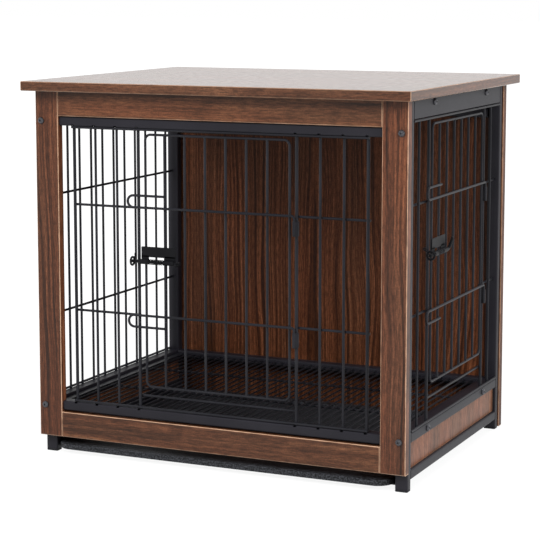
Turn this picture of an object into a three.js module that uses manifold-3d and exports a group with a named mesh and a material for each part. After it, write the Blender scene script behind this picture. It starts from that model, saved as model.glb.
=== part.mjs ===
// Dog crate end table: a wire crate in a steel tube frame, boarded in wood, with a slide-out tray.
// Millimetres. While it is built, x = 0 is the left edge of the front boards, y = 0 their front
// face and z = 0 the floor; x runs right, y back and z up. The last lines centre it on the origin.
import * as THREE from "three";
import { mergeVertices } from "three/addons/utils/BufferGeometryUtils.js";
import Module from "manifold-3d";

// Gap left wherever two pieces meet, and how far a cutting tool runs past the face it cuts
const seam = 0.3;
const overcut = 1;

// Wooden boards
const topWidth = 650;
const topDepth = 536;
const topThickness = 15;
const tableHeight = 600;
const sideOverhang = 12;
const frontOverhang = 24;
const carcassDepth = 477;
const boardThickness = 15;
const edgeBevel = 1;
const stileWidth = 40.5;
const frontTopRailHeight = 39.5;
const frontBottomRailHeight = 40.5;
const frontFloorGap = 29.5;
const backFloorGap = 2;
const infillHeight = 36.7;
const infillSetback = 4.7;

// Steel tube frame
const postWidth = 20;
const postDepth = 15;
const postInset = 2;
const tubeWall = 1.2;
const tubeCorner = 1.5;
const barDepth = 20;
const barHeight = 15;
const barSetback = 4;
const topBarDrop = 70;
const bottomBarLevel = 72.5;
const lugLength = 30;
const sideRailWidth = 20;
const sideTopRailHeight = 29.7;
const sideLowerRailHeight = 15;
const sideBottomRailLevel = 16.5;
const sideBottomRailHeight = 14.5;

// Foot caps
const footHeight = 3;
const footPlugHeight = 12;

// Tray and the runners that carry it
const trayLeft = 23.4;
const trayRightGap = 29;
const trayFront = 4.5;
const trayRearGap = 22.5;
const trayLevel = 8;
const trayHeight = 9;
const trayWall = 2.2;
const trayRim = 22;
const trayCorner = 26;
const runnerThickness = 2;
const runnerWidth = 18;
const runnerInset = 3;

// Wire work
const wireDiameter = 4;
const stoutDiameter = 5;
const wireSides = 6;
const weldBite = 0.2;
const bendSteps = 4;
const frontPanelSetback = 10.4;
const sidePanelSetback = 4.9;
const frontFirstWire = 64.3;
const frontLastGap = 65.5;
const frontWiresEachSide = 3;
const frontMidLevels = [236, 405.5];
const frontThresholdDrop = 16;
const frontDoorLevel = 123.5;
const sideDoorStart = 121;
const sideDoorEnd = 112;
const sideDoorLevel = 146.5;
const sideWireInset = 65;
const sideMidLevels = [259, 426.5];
const sideThresholdDrop = 25;
const leftFirstWire = 37.4;
const leftLastGap = 35.5;
const leftWireCount = 10;
const leftMidLevels = [223, 416];
const wireNotchWidth = 5;
const wireNotchDepth = 2.4;

// Floor grid
const floorWireWidth = 2.8;
const floorCrossWidth = 4;
const floorPitch = 13.5;
const floorCrossRows = [30, 171, 318];
const floorLastGap = 3.7;
const floorEdgeWidth = 12;
const floorEdgeThickness = 2;
const floorClearance = 3;
const ledgeWidth = 12;
const ledgeThickness = 2.2;
const ledgeLevel = 74.3;

// Doors: both are one design, measured from the centre of the lower free corner
const doorTopGap = 9.5;
const doorCorner = 9;
const jambGap = 12.8;
const hingeGap = 10.9;
const doorFirstWire = 33.3;
const doorLastGap = 36.95;
const doorWireCount = 6;
const doorMidLevels = [113.5, 283.5];
const doorHookReach = 29.5;
const doorHookRise = 18.5;
const hingeBend = 5;
const hingeLegDrop = 30.5;
const hingeLegOffset = 1.9;
const hingeClipHeight = 22.5;
const hingeClipWall = 0.9;
const hingeClearance = 0.4;

// Latches, placed from the same corner of the door
const plateStart = -6.5;
const plateLength = 60.6;
const plateLevel = 206.5;
const plateHeight = 16.3;
const plateThickness = 1.5;
const boltLevel = 199.5;
const boltStandoff = 7.8;
const boltDiameter = 5;
const boltTip = -24.5;
const boltEnd = 63.1;
const handleLength = 18;
const handleBend = 4;
const frontHandleTurn = 90;
const sideHandleTurn = 20;
const knuckleWall = 1;
const knuckleClearance = 0.4;
const firstKnuckleLength = 13;
const lastKnuckleStart = 33.5;
const lastKnuckleLength = 19;
const washerThickness = 1.8;
const washerDiameter = 8;
const springWire = 0.9;
const springDiameter = 7.6;
const springCurls = 9;
const keeperPlace = -20.5;
const keeperRadius = 6.2;
const keeperWire = 2.8;
const keeperEyeRadius = 1.9;
const keeperEyeWire = 1.6;
const keeperEyeRise = 9.3;

// Screws
const screwHeadDiameter = 10.5;
const screwHeadHeight = 3.2;
const screwHeadRounding = 1.8;
const screwShankDiameter = 5;
const screwHoleDiameter = 5.8;
const screwSocket = 3;
const screwSocketDepth = 1.9;
const screwBite = 6;
const stileScrewInset = 10.5;
const sideTopScrewDrop = 8;
const sideTopScrewInsets = [119, 106];
const sideLowerScrewInsets = [103.5, 101];

// Levels and edges that several pieces share
const carcassWidth = topWidth - 2 * sideOverhang;
const boardTop = tableHeight - topThickness - seam;
const topBarLevel = tableHeight - topBarDrop;
const doorWidth = carcassDepth - sideDoorStart - sideDoorEnd;
const doorHeight = topBarLevel - frontDoorLevel - doorTopGap;
const frontDoorStart = (carcassWidth - doorWidth) / 2;
const frontLastWire = carcassWidth - frontLastGap;
const sideLastWire = carcassDepth - sideWireInset;
const sideTopScrews = [sideTopScrewInsets[0], carcassDepth - sideTopScrewInsets[1]];
const sideLowerScrews = [sideLowerScrewInsets[0], carcassDepth - sideLowerScrewInsets[1]];
const trayWidth = carcassWidth - trayLeft - trayRightGap;
const trayLength = carcassDepth - trayFront - trayRearGap;
const frameLeft = postInset;
const frameRight = carcassWidth - postInset;
const frontPostFace = boardThickness + seam;
const rearPostFace = carcassDepth - boardThickness - seam;
const railFront = frontPostFace + postDepth + seam;
const railBack = rearPostFace - postDepth - seam;
const barLeft = frameLeft + postWidth + seam;
const barRight = frameRight - postWidth - seam;
const topBarCentre = topBarLevel + barHeight / 2;
const bottomBarCentre = bottomBarLevel + barHeight / 2;
const bottomBarTop = bottomBarLevel + barHeight;
const backBarFront = rearPostFace - barDepth;
const jambPlace = -jambGap;
const hingePlace = doorWidth + hingeGap;
const layerGap = wireDiameter - weldBite;
const outerLayer = -(stoutDiameter + wireDiameter) / 2 - seam;
const doorLayer = outerLayer + layerGap;

const wasm = await Module();
wasm.setup();

// ---- solids ----

function solidOf(geometry) {
  const bare = new THREE.BufferGeometry();
  bare.setAttribute("position", geometry.getAttribute("position"));
  bare.setIndex(geometry.index);
  const merged = mergeVertices(bare, 1e-4);
  const mesh = new wasm.Mesh({
    numProp: 3,
    vertProperties: merged.getAttribute("position").array,
    triVerts: new Uint32Array(merged.index.array),
  });
  return new wasm.Manifold(mesh);
}

function geometryOf(solid) {
  const mesh = solid.getMesh();
  const geometry = new THREE.BufferGeometry();
  geometry.setAttribute("position", new THREE.BufferAttribute(mesh.vertProperties, 3));
  geometry.setIndex(new THREE.BufferAttribute(mesh.triVerts, 1));
  return geometry;
}

function join(...geometries) {
  return geometryOf(geometries.map(solidOf).reduce((whole, next) => whole.add(next)));
}

function cut(geometry, ...tools) {
  return geometryOf(tools.map(solidOf).reduce((left, tool) => left.subtract(tool), solidOf(geometry)));
}

// A block between two opposite corners, whichever way round they are given
function block(cornerA, cornerB) {
  const size = cornerA.map((value, axis) => Math.abs(value - cornerB[axis]));
  const middle = cornerA.map((value, axis) => (value + cornerB[axis]) / 2);
  return new THREE.BoxGeometry(...size).translate(...middle);
}

const axes = [new THREE.Vector3(1, 0, 0), new THREE.Vector3(0, 1, 0), new THREE.Vector3(0, 0, 1)];

// Extrudes a flat outline along axis 0, 1 or 2; the outline's own x and y are the next two axes
function extrudeAlong(axis, shape, from, to, bevel = 0) {
  const geometry = new THREE.ExtrudeGeometry(shape, {
    depth: to - from - 2 * bevel,
    bevelEnabled: bevel > 0,
    bevelThickness: bevel,
    bevelSize: bevel,
    bevelOffset: -bevel,
    bevelSegments: 1,
    curveSegments: bendSteps,
  });
  const basis = new THREE.Matrix4();
  basis.makeBasis(axes[(axis + 1) % 3], axes[(axis + 2) % 3], axes[axis]);
  return geometry.translate(0, 0, from + bevel).applyMatrix4(basis);
}

// A rectangle's outline with its corners cut off straight
function chamferedRectangle(left, low, right, high, corner) {
  return [
    new THREE.Vector2(left + corner, low),
    new THREE.Vector2(right - corner, low),
    new THREE.Vector2(right, low + corner),
    new THREE.Vector2(right, high - corner),
    new THREE.Vector2(right - corner, high),
    new THREE.Vector2(left + corner, high),
    new THREE.Vector2(left, high - corner),
    new THREE.Vector2(left, low + corner),
  ];
}

// A wooden board with bevelled edges on its two broad faces
function board(low, high, thicknessAxis) {
  const across = (thicknessAxis + 1) % 3;
  const along = (thicknessAxis + 2) % 3;
  const shape = new THREE.Shape([
    new THREE.Vector2(low[across], low[along]),
    new THREE.Vector2(high[across], low[along]),
    new THREE.Vector2(high[across], high[along]),
    new THREE.Vector2(low[across], high[along]),
  ]);
  return extrudeAlong(thicknessAxis, shape, low[thicknessAxis], high[thicknessAxis], edgeBevel);
}

// A rectangular steel tube, open at both ends
function steelTube(low, high, lengthAxis) {
  const across = (lengthAxis + 1) % 3;
  const along = (lengthAxis + 2) % 3;
  const outline = chamferedRectangle(low[across], low[along], high[across], high[along], tubeCorner);
  const shape = new THREE.Shape(outline);
  const bore = [
    new THREE.Vector2(low[across] + tubeWall, low[along] + tubeWall),
    new THREE.Vector2(low[across] + tubeWall, high[along] - tubeWall),
    new THREE.Vector2(high[across] - tubeWall, high[along] - tubeWall),
    new THREE.Vector2(high[across] - tubeWall, low[along] + tubeWall),
  ];
  shape.holes.push(new THREE.Path(bore));
  return extrudeAlong(lengthAxis, shape, low[lengthAxis], high[lengthAxis]);
}

// A straight round hole or pin along axis 0, 1 or 2, from one point for a length
function roundBar(axis, start, length, diameter, sides) {
  const turn = [[0, 0, -Math.PI / 2], [0, 0, 0], [Math.PI / 2, 0, 0]][axis];
  const middle = axes[axis].clone().multiplyScalar(length / 2).add(new THREE.Vector3(...start));
  const geometry = new THREE.CylinderGeometry(diameter / 2, diameter / 2, length, sides);
  geometry.rotateX(turn[0]).rotateZ(turn[2]);
  return geometry.translate(middle.x, middle.y, middle.z);
}

// ---- wires ----

// A closed tube through a list of points. The section's first corner faces the direction that
// facing gives at each point; a looped tube joins its last point to its first.
function sweptTube(centres, facing, radiusAt, sides, looped = false) {
  const count = centres.length;
  const rings = centres.map((centre, i) => {
    const before = centres[looped ? (i + count - 1) % count : Math.max(i - 1, 0)];
    const after = centres[looped ? (i + 1) % count : Math.min(i + 1, count - 1)];
    const ahead = after.clone().sub(before).normalize();
    const first = facing(i).clone();
    first.addScaledVector(ahead, -first.dot(ahead)).normalize();
    const second = ahead.clone().cross(first);
    return Array.from({ length: sides }, (_, k) => {
      const angle = (k / sides) * 2 * Math.PI;
      const point = centre.clone();
      point.addScaledVector(first, Math.cos(angle) * radiusAt(i));
      return point.addScaledVector(second, Math.sin(angle) * radiusAt(i));
    });
  });
  const corners = [];
  for (let i = 0; i < (looped ? count : count - 1); i++) {
    const here = rings[i];
    const next = rings[(i + 1) % count];
    for (let k = 0; k < sides; k++) {
      const m = (k + 1) % sides;
      corners.push(here[k], here[m], next[m], here[k], next[m], next[k]);
    }
  }
  for (let k = 1; k < sides - 1 && !looped; k++) {
    const end = rings[count - 1];
    corners.push(rings[0][0], rings[0][k + 1], rings[0][k], end[0], end[k], end[k + 1]);
  }
  return new THREE.BufferGeometry().setFromPoints(corners);
}

// The points of a bent path: straight between its corners, which are rounded to one radius
function bentPath(corners, radius, looped = false) {
  const points = [];
  corners.forEach((corner, i) => {
    if (!looped && (i === 0 || i === corners.length - 1)) {
      points.push(corner);
      return;
    }
    const back = corners[(i + corners.length - 1) % corners.length].clone().sub(corner).normalize();
    const on = corners[(i + 1) % corners.length].clone().sub(corner).normalize();
    const half = back.angleTo(on) / 2;
    const centre = back.clone().add(on).normalize().multiplyScalar(radius / Math.sin(half)).add(corner);
    const start = back.multiplyScalar(radius / Math.tan(half)).add(corner).sub(centre);
    const end = on.multiplyScalar(radius / Math.tan(half)).add(corner).sub(centre);
    const turn = Math.PI - 2 * half;
    for (let s = 0; s <= bendSteps; s++) {
      const startShare = Math.sin((1 - s / bendSteps) * turn) / Math.sin(turn);
      const endShare = Math.sin((s / bendSteps) * turn) / Math.sin(turn);
      const arm = start.clone().multiplyScalar(startShare).addScaledVector(end, endShare);
      points.push(arm.add(centre));
    }
  });
  return points;
}

// A wire in an upright wall. Its corners are [along the wall, up] at one depth into the wall.
function wallWire(corners, depth, diameter, bend = 0, looped = false) {
  const placed = corners.map(([along, up]) => new THREE.Vector3(along, depth, up));
  const path = bend > 0 ? bentPath(placed, bend, looped) : placed;
  return sweptTube(path, () => axes[1], () => diameter / 2, wireSides, looped);
}

function upright(along, low, high, depth, diameter = wireDiameter) {
  return wallWire([[along, low], [along, high]], depth, diameter);
}

function level(up, start, end, depth, diameter = wireDiameter) {
  return wallWire([[start, up], [end, up]], depth, diameter);
}

// ---- finishes ----

const finishes = {
  walnut: { color: 0x6b4a3a, roughness: 0.55, metalness: 0 },
  blackSteel: { color: 0x2b2b2f, roughness: 0.5, metalness: 0.4 },
  blackPlastic: { color: 0x2e2f32, roughness: 0.7, metalness: 0 },
  zincSteel: { color: 0x3a3a3e, roughness: 0.4, metalness: 0.8 },
};

function addPiece(parent, name, finish, geometry) {
  const shaded = geometry.index ? geometry.toNonIndexed() : geometry;
  shaded.computeVertexNormals();
  const mesh = new THREE.Mesh(shaded, new THREE.MeshStandardMaterial(finishes[finish]));
  mesh.name = name;
  parent.add(mesh);
  return mesh;
}

const table = new THREE.Group();

// Mirrors a distance from the left edge to the other side
const fromSide = { left: (x) => x, right: (x) => carcassWidth - x };

// ---- wooden boards ----

const stileScrewLevels = { upper: topBarCentre, lower: bottomBarCentre };

function screwHole(axis, start, length) {
  return roundBar(axis, start, length, screwHoleDiameter, 8);
}

function addBoards() {
  addPiece(table, "top_board", "walnut", board(
    [-sideOverhang, -frontOverhang, tableHeight - topThickness],
    [carcassWidth + sideOverhang, topDepth - frontOverhang, tableHeight],
    2,
  ));
  for (const side of ["left", "right"]) {
    const edges = [fromSide[side](0), fromSide[side](stileWidth)];
    const stile = board(
      [Math.min(...edges), 0, frontFloorGap],
      [Math.max(...edges), boardThickness, boardTop],
      1,
    );
    const holes = Object.values(stileScrewLevels).map((up) =>
      screwHole(1, [fromSide[side](stileScrewInset), -overcut, up], boardThickness + 2 * overcut));
    addPiece(table, `front_${side}_stile`, "walnut", cut(stile, ...holes));
  }
  const railLeft = stileWidth + seam;
  const railRight = carcassWidth - stileWidth - seam;
  addPiece(table, "front_top_rail", "walnut", board(
    [railLeft, 0, boardTop - frontTopRailHeight],
    [railRight, boardThickness, boardTop],
    1,
  ));
  addPiece(table, "front_bottom_rail", "walnut", board(
    [railLeft, 0, frontFloorGap],
    [railRight, boardThickness, frontFloorGap + frontBottomRailHeight],
    1,
  ));
  const back = board(
    [0, carcassDepth - boardThickness, backFloorGap],
    [carcassWidth, carcassDepth, boardTop],
    1,
  );
  const backHoles = ["left", "right"].flatMap((side) =>
    Object.values(stileScrewLevels).map((up) => {
      const inside = carcassDepth - boardThickness - overcut;
      return screwHole(1, [fromSide[side](stileScrewInset), inside, up], boardThickness + 2 * overcut);
    }));
  addPiece(table, "back_panel", "walnut", cut(back, ...backHoles));
  for (const side of ["left", "right"]) {
    const outer = fromSide[side](frameLeft + infillSetback);
    const inner = fromSide[side](frameLeft + infillSetback + boardThickness);
    const infillTop = bottomBarLevel - seam;
    addPiece(table, `${side}_infill_board`, "walnut", board(
      [Math.min(outer, inner), railFront, infillTop - infillHeight],
      [Math.max(outer, inner), railBack, infillTop],
      0,
    ));
  }
}

// ---- steel tube frame ----

// Notches in a front bar where the upright wires end, at its lower or upper edge
function wireNotches(edge, direction) {
  const depth = frontPanelSetback + wireNotchWidth / 2;
  return frontUprights().map((along) => block(
    [along - wireNotchWidth / 2, barSetback - overcut, edge + direction * overcut],
    [along + wireNotchWidth / 2, depth, edge - direction * wireNotchDepth],
  ));
}

// The front panel's uprights: evenly spaced from each end to the wire beside the door
function frontUprights() {
  const jamb = frontDoorStart + jambPlace;
  const hingePost = frontDoorStart + hingePlace;
  const share = (k) => k / frontWiresEachSide;
  const steps = Array.from({ length: frontWiresEachSide + 1 }, (_, k) => k);
  return [
    ...steps.map((k) => frontFirstWire + share(k) * (jamb - frontFirstWire)),
    ...steps.map((k) => hingePost + share(k) * (frontLastWire - hingePost)),
  ];
}

// A front bar: a tube between the stiles, with lugs behind them that reach the posts
function frontBar(low, notches) {
  const high = low + barHeight;
  const tube = steelTube(
    [stileWidth + seam, barSetback, low],
    [carcassWidth - stileWidth - seam, barSetback + barDepth, high],
    0,
  );
  const back = barSetback + barDepth;
  const lugs = [
    block([barLeft, frontPostFace, low + tubeCorner], [barLeft + lugLength, back, high - tubeCorner]),
    block([barRight, frontPostFace, low + tubeCorner], [barRight - lugLength, back, high - tubeCorner]),
  ];
  return cut(join(tube, ...lugs), ...notches);
}

function sideRail(side, low, high) {
  const outer = fromSide[side](frameLeft);
  const inner = fromSide[side](frameLeft + sideRailWidth);
  return steelTube(
    [Math.min(outer, inner), railFront, low],
    [Math.max(outer, inner), railBack, high],
    1,
  );
}

// Holes in the outer wall of a side rail
function railHoles(side, places, up) {
  const start = side === "left" ? frameLeft - overcut : frameRight - 2 * tubeWall;
  return places.map((along) => screwHole(0, [start, along, up], overcut + 2 * tubeWall));
}

function addFrame() {
  for (const side of ["left", "right"]) {
    const outer = fromSide[side](frameLeft);
    const inner = fromSide[side](frameLeft + postWidth);
    for (const [end, face] of [["front", frontPostFace], ["rear", rearPostFace - postDepth]]) {
      const post = steelTube(
        [Math.min(outer, inner), face, footHeight + seam],
        [Math.max(outer, inner), face + postDepth, boardTop],
        2,
      );
      const outside = end === "front" ? face - overcut : face + postDepth - 2 * tubeWall;
      const holes = Object.values(stileScrewLevels).map((up) =>
        screwHole(1, [fromSide[side](stileScrewInset), outside, up], overcut + 2 * tubeWall));
      addPiece(table, `${end}_${side}_post`, "blackSteel", cut(post, ...holes));
    }

    const topRail = sideRail(side, boardTop - sideTopRailHeight, boardTop);
    addPiece(table, `${side}_top_rail`, "blackSteel",
      cut(topRail, ...railHoles(side, sideTopScrews, boardTop - sideTopScrewDrop)));

    // The lower rail carries a ledge for the floor grid
    const lowerRail = sideRail(side, bottomBarLevel, bottomBarLevel + sideLowerRailHeight);
    const railInside = frameLeft + sideRailWidth;
    const ledge = block(
      [fromSide[side](railInside - tubeWall / 2), railFront, ledgeLevel],
      [fromSide[side](railInside + ledgeWidth), backBarFront - seam, ledgeLevel + ledgeThickness],
    );
    addPiece(table, `${side}_lower_rail`, "blackSteel",
      cut(join(lowerRail, ledge), ...railHoles(side, sideLowerScrews, bottomBarCentre)));

    // The bottom rail carries an angle that the tray slides on
    const bottomRail = sideRail(side, sideBottomRailLevel, sideBottomRailLevel + sideBottomRailHeight);
    const runnerTop = trayLevel - seam;
    const webOuter = railInside - runnerInset;
    const webInner = webOuter + runnerThickness - tubeWall / 2;
    const web = block(
      [fromSide[side](webOuter), railFront, runnerTop - runnerThickness],
      [fromSide[side](webInner), railBack, sideBottomRailLevel + tubeWall / 2],
    );
    const runner = block(
      [fromSide[side](webOuter), railFront, runnerTop - runnerThickness],
      [fromSide[side](webOuter + runnerWidth), railBack, runnerTop],
    );
    addPiece(table, `${side}_bottom_rail`, "blackSteel", join(bottomRail, web, runner));
  }

  addPiece(table, "front_top_bar", "blackSteel", frontBar(topBarLevel, wireNotches(topBarLevel, -1)));
  addPiece(table, "front_bottom_bar", "blackSteel",
    frontBar(bottomBarLevel, wireNotches(bottomBarTop, 1)));
  for (const [name, low] of [["back_top_bar", topBarLevel], ["back_bottom_bar", bottomBarLevel]]) {
    addPiece(table, name, "blackSteel", steelTube(
      [barLeft, backBarFront, low],
      [barRight, rearPostFace, low + barHeight],
      0,
    ));
  }
}

function addFeet() {
  for (const side of ["left", "right"]) {
    for (const [end, face] of [["front", frontPostFace], ["rear", rearPostFace - postDepth]]) {
      const edges = [fromSide[side](frameLeft), fromSide[side](frameLeft + postWidth)];
      const left = Math.min(...edges);
      const outline = chamferedRectangle(left, face, left + postWidth, face + postDepth, tubeCorner);
      const flange = extrudeAlong(2, new THREE.Shape(outline), 0, footHeight);
      const clear = tubeWall + seam;
      const plug = block(
        [left + clear, face + clear, footHeight / 2],
        [left + postWidth - clear, face + postDepth - clear, footHeight + footPlugHeight],
      );
      addPiece(table, `${end}_${side}_foot_cap`, "blackPlastic", join(flange, plug));
    }
  }
}

// ---- tray ----

function roundedRectangle(left, low, right, high, corner) {
  const outline = new THREE.Shape();
  outline.moveTo(left + corner, low);
  outline.lineTo(right - corner, low);
  outline.absarc(right - corner, low + corner, corner, -Math.PI / 2, 0);
  outline.lineTo(right, high - corner);
  outline.absarc(right - corner, high - corner, corner, 0, Math.PI / 2);
  outline.lineTo(left + corner, high);
  outline.absarc(left + corner, high - corner, corner, Math.PI / 2, Math.PI);
  outline.lineTo(left, low + corner);
  outline.absarc(left + corner, low + corner, corner, Math.PI, 1.5 * Math.PI);
  return outline;
}

// The tray's outline drawn in from its edge by some distance
function trayOutline(inset) {
  return roundedRectangle(
    trayLeft + inset,
    trayFront + inset,
    trayLeft + trayWidth - inset,
    trayFront + trayLength - inset,
    Math.max(trayCorner - inset, trayWall),
  );
}

function addTray() {
  const top = trayLevel + trayHeight;
  const slab = extrudeAlong(2, trayOutline(0), trayLevel, top);
  const recess = extrudeAlong(2, trayOutline(trayRim), trayLevel + trayWall, top + overcut);
  const groove = trayOutline(trayWall);
  groove.holes.push(trayOutline(trayRim - trayWall));
  const hollowRim = extrudeAlong(2, groove, trayLevel - overcut, top - trayWall);
  addPiece(table, "tray", "blackPlastic", cut(slab, recess, hollowRim));
}

// ---- wire panels ----

// A wall of the crate: a group whose x runs along the wall and whose y runs into the crate
function wall(x, y, turn) {
  const group = new THREE.Group();
  group.position.set(x, y, 0);
  group.rotation.z = turn;
  table.add(group);
  return group;
}

const frontWall = wall(0, frontPanelSetback, 0);
const rightWall = wall(frameRight - sidePanelSetback, 0, Math.PI / 2);
const leftWall = wall(frameLeft + sidePanelSetback, railBack, -Math.PI / 2);

function addFrontPanel() {
  const jamb = frontDoorStart + jambPlace;
  const hingePost = frontDoorStart + hingePlace;
  const lowest = bottomBarTop - wireNotchDepth + seam;
  const highest = topBarLevel + wireNotchDepth - seam;
  const uprights = frontUprights().map((along, i) => {
    const stout = i % (frontWiresEachSide + 1) === 0 || (i + 1) % (frontWiresEachSide + 1) === 0;
    return upright(along, lowest, highest, 0, stout ? stoutDiameter : wireDiameter);
  });
  const ends = [frontFirstWire - stoutDiameter / 2, frontLastWire + stoutDiameter / 2];
  const inner = (stoutDiameter + wireDiameter) / 2 - weldBite;
  addPiece(frontWall, "front_wire_panel", "blackSteel", join(
    ...uprights,
    level(topBarLevel - seam - wireDiameter / 2, ...ends, -layerGap),
    level(bottomBarTop + seam + wireDiameter / 2, ...ends, -layerGap),
    level(frontDoorLevel - frontThresholdDrop, jamb - stoutDiameter, hingePost, inner),
    ...frontMidLevels.flatMap((up) => [
      level(up, ends[0], jamb, inner),
      level(up, hingePost, ends[1], inner),
    ]),
  ));
}

const sideWireLow = bottomBarLevel + sideLowerRailHeight + seam;
const sideWireHigh = boardTop - sideTopRailHeight - seam;

function addRightPanel() {
  const jamb = sideDoorStart + jambPlace;
  const hingePost = sideDoorStart + hingePlace;
  const inner = (stoutDiameter + wireDiameter) / 2 - weldBite;
  addPiece(rightWall, "right_wire_panel", "blackSteel", join(
    upright(sideWireInset, sideWireLow, sideWireHigh, 0),
    upright(jamb, sideWireLow, sideWireHigh, 0, stoutDiameter),
    upright(hingePost, sideWireLow, sideWireHigh, 0, stoutDiameter),
    upright(sideLastWire, sideWireLow, sideWireHigh, 0),
    level(sideWireHigh - wireDiameter / 2, railFront, railBack, -layerGap),
    level(sideWireLow + wireDiameter / 2, railFront, railBack, -layerGap),
    level(sideDoorLevel - sideThresholdDrop, jamb, hingePost, inner),
    ...sideMidLevels.flatMap((up) => [
      level(up, railFront, jamb, inner),
      level(up, hingePost, railBack, inner),
    ]),
  ));
}

function addLeftPanel() {
  const length = railBack - railFront;
  const pitch = (length - leftFirstWire - leftLastGap) / (leftWireCount - 1);
  const uprights = Array.from({ length: leftWireCount }, (_, k) =>
    upright(leftFirstWire + k * pitch, sideWireLow, sideWireHigh, 0));
  addPiece(leftWall, "left_wire_panel", "blackSteel", join(
    ...uprights,
    level(sideWireHigh - wireDiameter / 2, 0, length, -layerGap),
    level(sideWireLow + wireDiameter / 2, 0, length, -layerGap),
    ...leftMidLevels.map((up) => level(up, 0, length, layerGap)),
  ));
}

// ---- floor grid ----

function addFloor() {
  const left = frameLeft + sideRailWidth + seam;
  const right = carcassWidth - left;
  const crossLow = ledgeLevel + ledgeThickness + seam;
  const crossHigh = crossLow + floorCrossWidth;
  const front = barSetback + barDepth + seam;
  const back = backBarFront - seam;
  const crosses = [...floorCrossRows, backBarFront - floorLastGap].map((along) => block(
    [left, along - floorCrossWidth / 2, crossLow],
    [right, along + floorCrossWidth / 2, crossHigh],
  ));
  const edges = [[left, left + floorEdgeWidth], [right - floorEdgeWidth, right]].map(([from, to]) =>
    block([from, railFront, crossHigh - weldBite], [to, back, crossHigh + floorEdgeThickness]));
  const span = right - left - 2 * (floorEdgeWidth + floorClearance) - floorWireWidth;
  const gaps = Math.floor(span / floorPitch);
  const first = (carcassWidth - gaps * floorPitch) / 2;
  const longs = Array.from({ length: gaps + 1 }, (_, k) => {
    const along = first + k * floorPitch;
    return block(
      [along - floorWireWidth / 2, front, crossHigh - weldBite],
      [along + floorWireWidth / 2, back, crossHigh - weldBite + floorWireWidth],
    );
  });
  addPiece(table, "floor_grid", "blackSteel", join(...crosses, ...edges, ...longs));
}

// ---- doors ----

// The clip that wraps the hinge post and the end of one of the door's wires
function hingeClip(low) {
  const legAt = new THREE.Vector2(hingePlace - hingeLegOffset, outerLayer);
  const postAt = new THREE.Vector2(hingePlace, 0);
  const postRadius = stoutDiameter / 2 + hingeClearance + hingeClipWall;
  const legRadius = wireDiameter / 2 + hingeClipWall;
  const lean = postAt.clone().sub(legAt).angle();
  const spread = Math.asin((postRadius - legRadius) / postAt.distanceTo(legAt));
  const shape = new THREE.Shape();
  shape.absarc(postAt.x, postAt.y, postRadius, lean - Math.PI / 2 - spread, lean + Math.PI / 2 + spread);
  shape.absarc(legAt.x, legAt.y, legRadius, lean + Math.PI / 2 + spread, lean + 1.5 * Math.PI - spread);
  const bore = new THREE.Path();
  bore.absarc(postAt.x, postAt.y, stoutDiameter / 2 + hingeClearance, 0, 2 * Math.PI, true);
  shape.holes.push(bore);
  return extrudeAlong(2, shape, low, low + hingeClipHeight);
}

// One long wire: up the hinge clip, across the door, round the hook and back to the first upright
function hookedWire(up, rise) {
  const leg = hingePlace - hingeLegOffset;
  const turn = Math.abs(rise) / 2;
  const hook = wallWire(
    [
      [doorFirstWire, up + rise],
      [-doorHookReach, up + rise],
      [-doorHookReach, up],
      [doorFirstWire, up],
    ],
    outerLayer,
    wireDiameter,
    turn - 1e-3,
  );
  const across = wallWire(
    [[0, up], [leg, up], [leg, up - hingeLegDrop]],
    outerLayer,
    wireDiameter,
    hingeBend,
  );
  return join(hook, across);
}

function doorGeometry() {
  const outline = wallWire(
    [[0, 0], [doorWidth, 0], [doorWidth, doorHeight], [0, doorHeight]],
    doorLayer,
    wireDiameter,
    doorCorner,
    true,
  );
  const pitch = (doorWidth - doorFirstWire - doorLastGap) / (doorWireCount - 1);
  const uprights = Array.from({ length: doorWireCount }, (_, k) =>
    upright(doorFirstWire + k * pitch, 0, doorHeight, doorLayer));
  const [lowerMid, upperMid] = doorMidLevels;
  return join(
    outline,
    ...uprights,
    hookedWire(upperMid, doorHookRise),
    hookedWire(lowerMid, -doorHookRise),
    ...doorMidLevels.map((up) => hingeClip(up - hingeLegDrop)),
  );
}

// ---- latches ----

function latchPlate() {
  const face = doorLayer - wireDiameter / 2 - seam;
  const plate = block(
    [plateStart, face, plateLevel],
    [plateStart + plateLength, face - plateThickness, plateLevel + plateHeight],
  );
  const inside = boltDiameter / 2 + knuckleClearance;
  const knuckles = [
    [plateStart, firstKnuckleLength],
    [lastKnuckleStart, lastKnuckleLength],
  ].flatMap(([start, length]) => {
    const ring = new THREE.Shape();
    ring.absarc(-boltStandoff, boltLevel, inside + knuckleWall, 0, 2 * Math.PI);
    const bore = new THREE.Path();
    bore.absarc(-boltStandoff, boltLevel, inside, 0, 2 * Math.PI, true);
    ring.holes.push(bore);
    const tab = block(
      [start, face, boltLevel],
      [start + length, face - plateThickness, plateLevel + plateThickness],
    );
    const holeStart = [start - overcut, -boltStandoff, boltLevel];
    const hole = roundBar(0, holeStart, length + 2 * overcut, 2 * inside, 16);
    return [cut(tab, hole), extrudeAlong(0, ring, start, start + length)];
  });
  return join(plate, ...knuckles);
}

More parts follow.
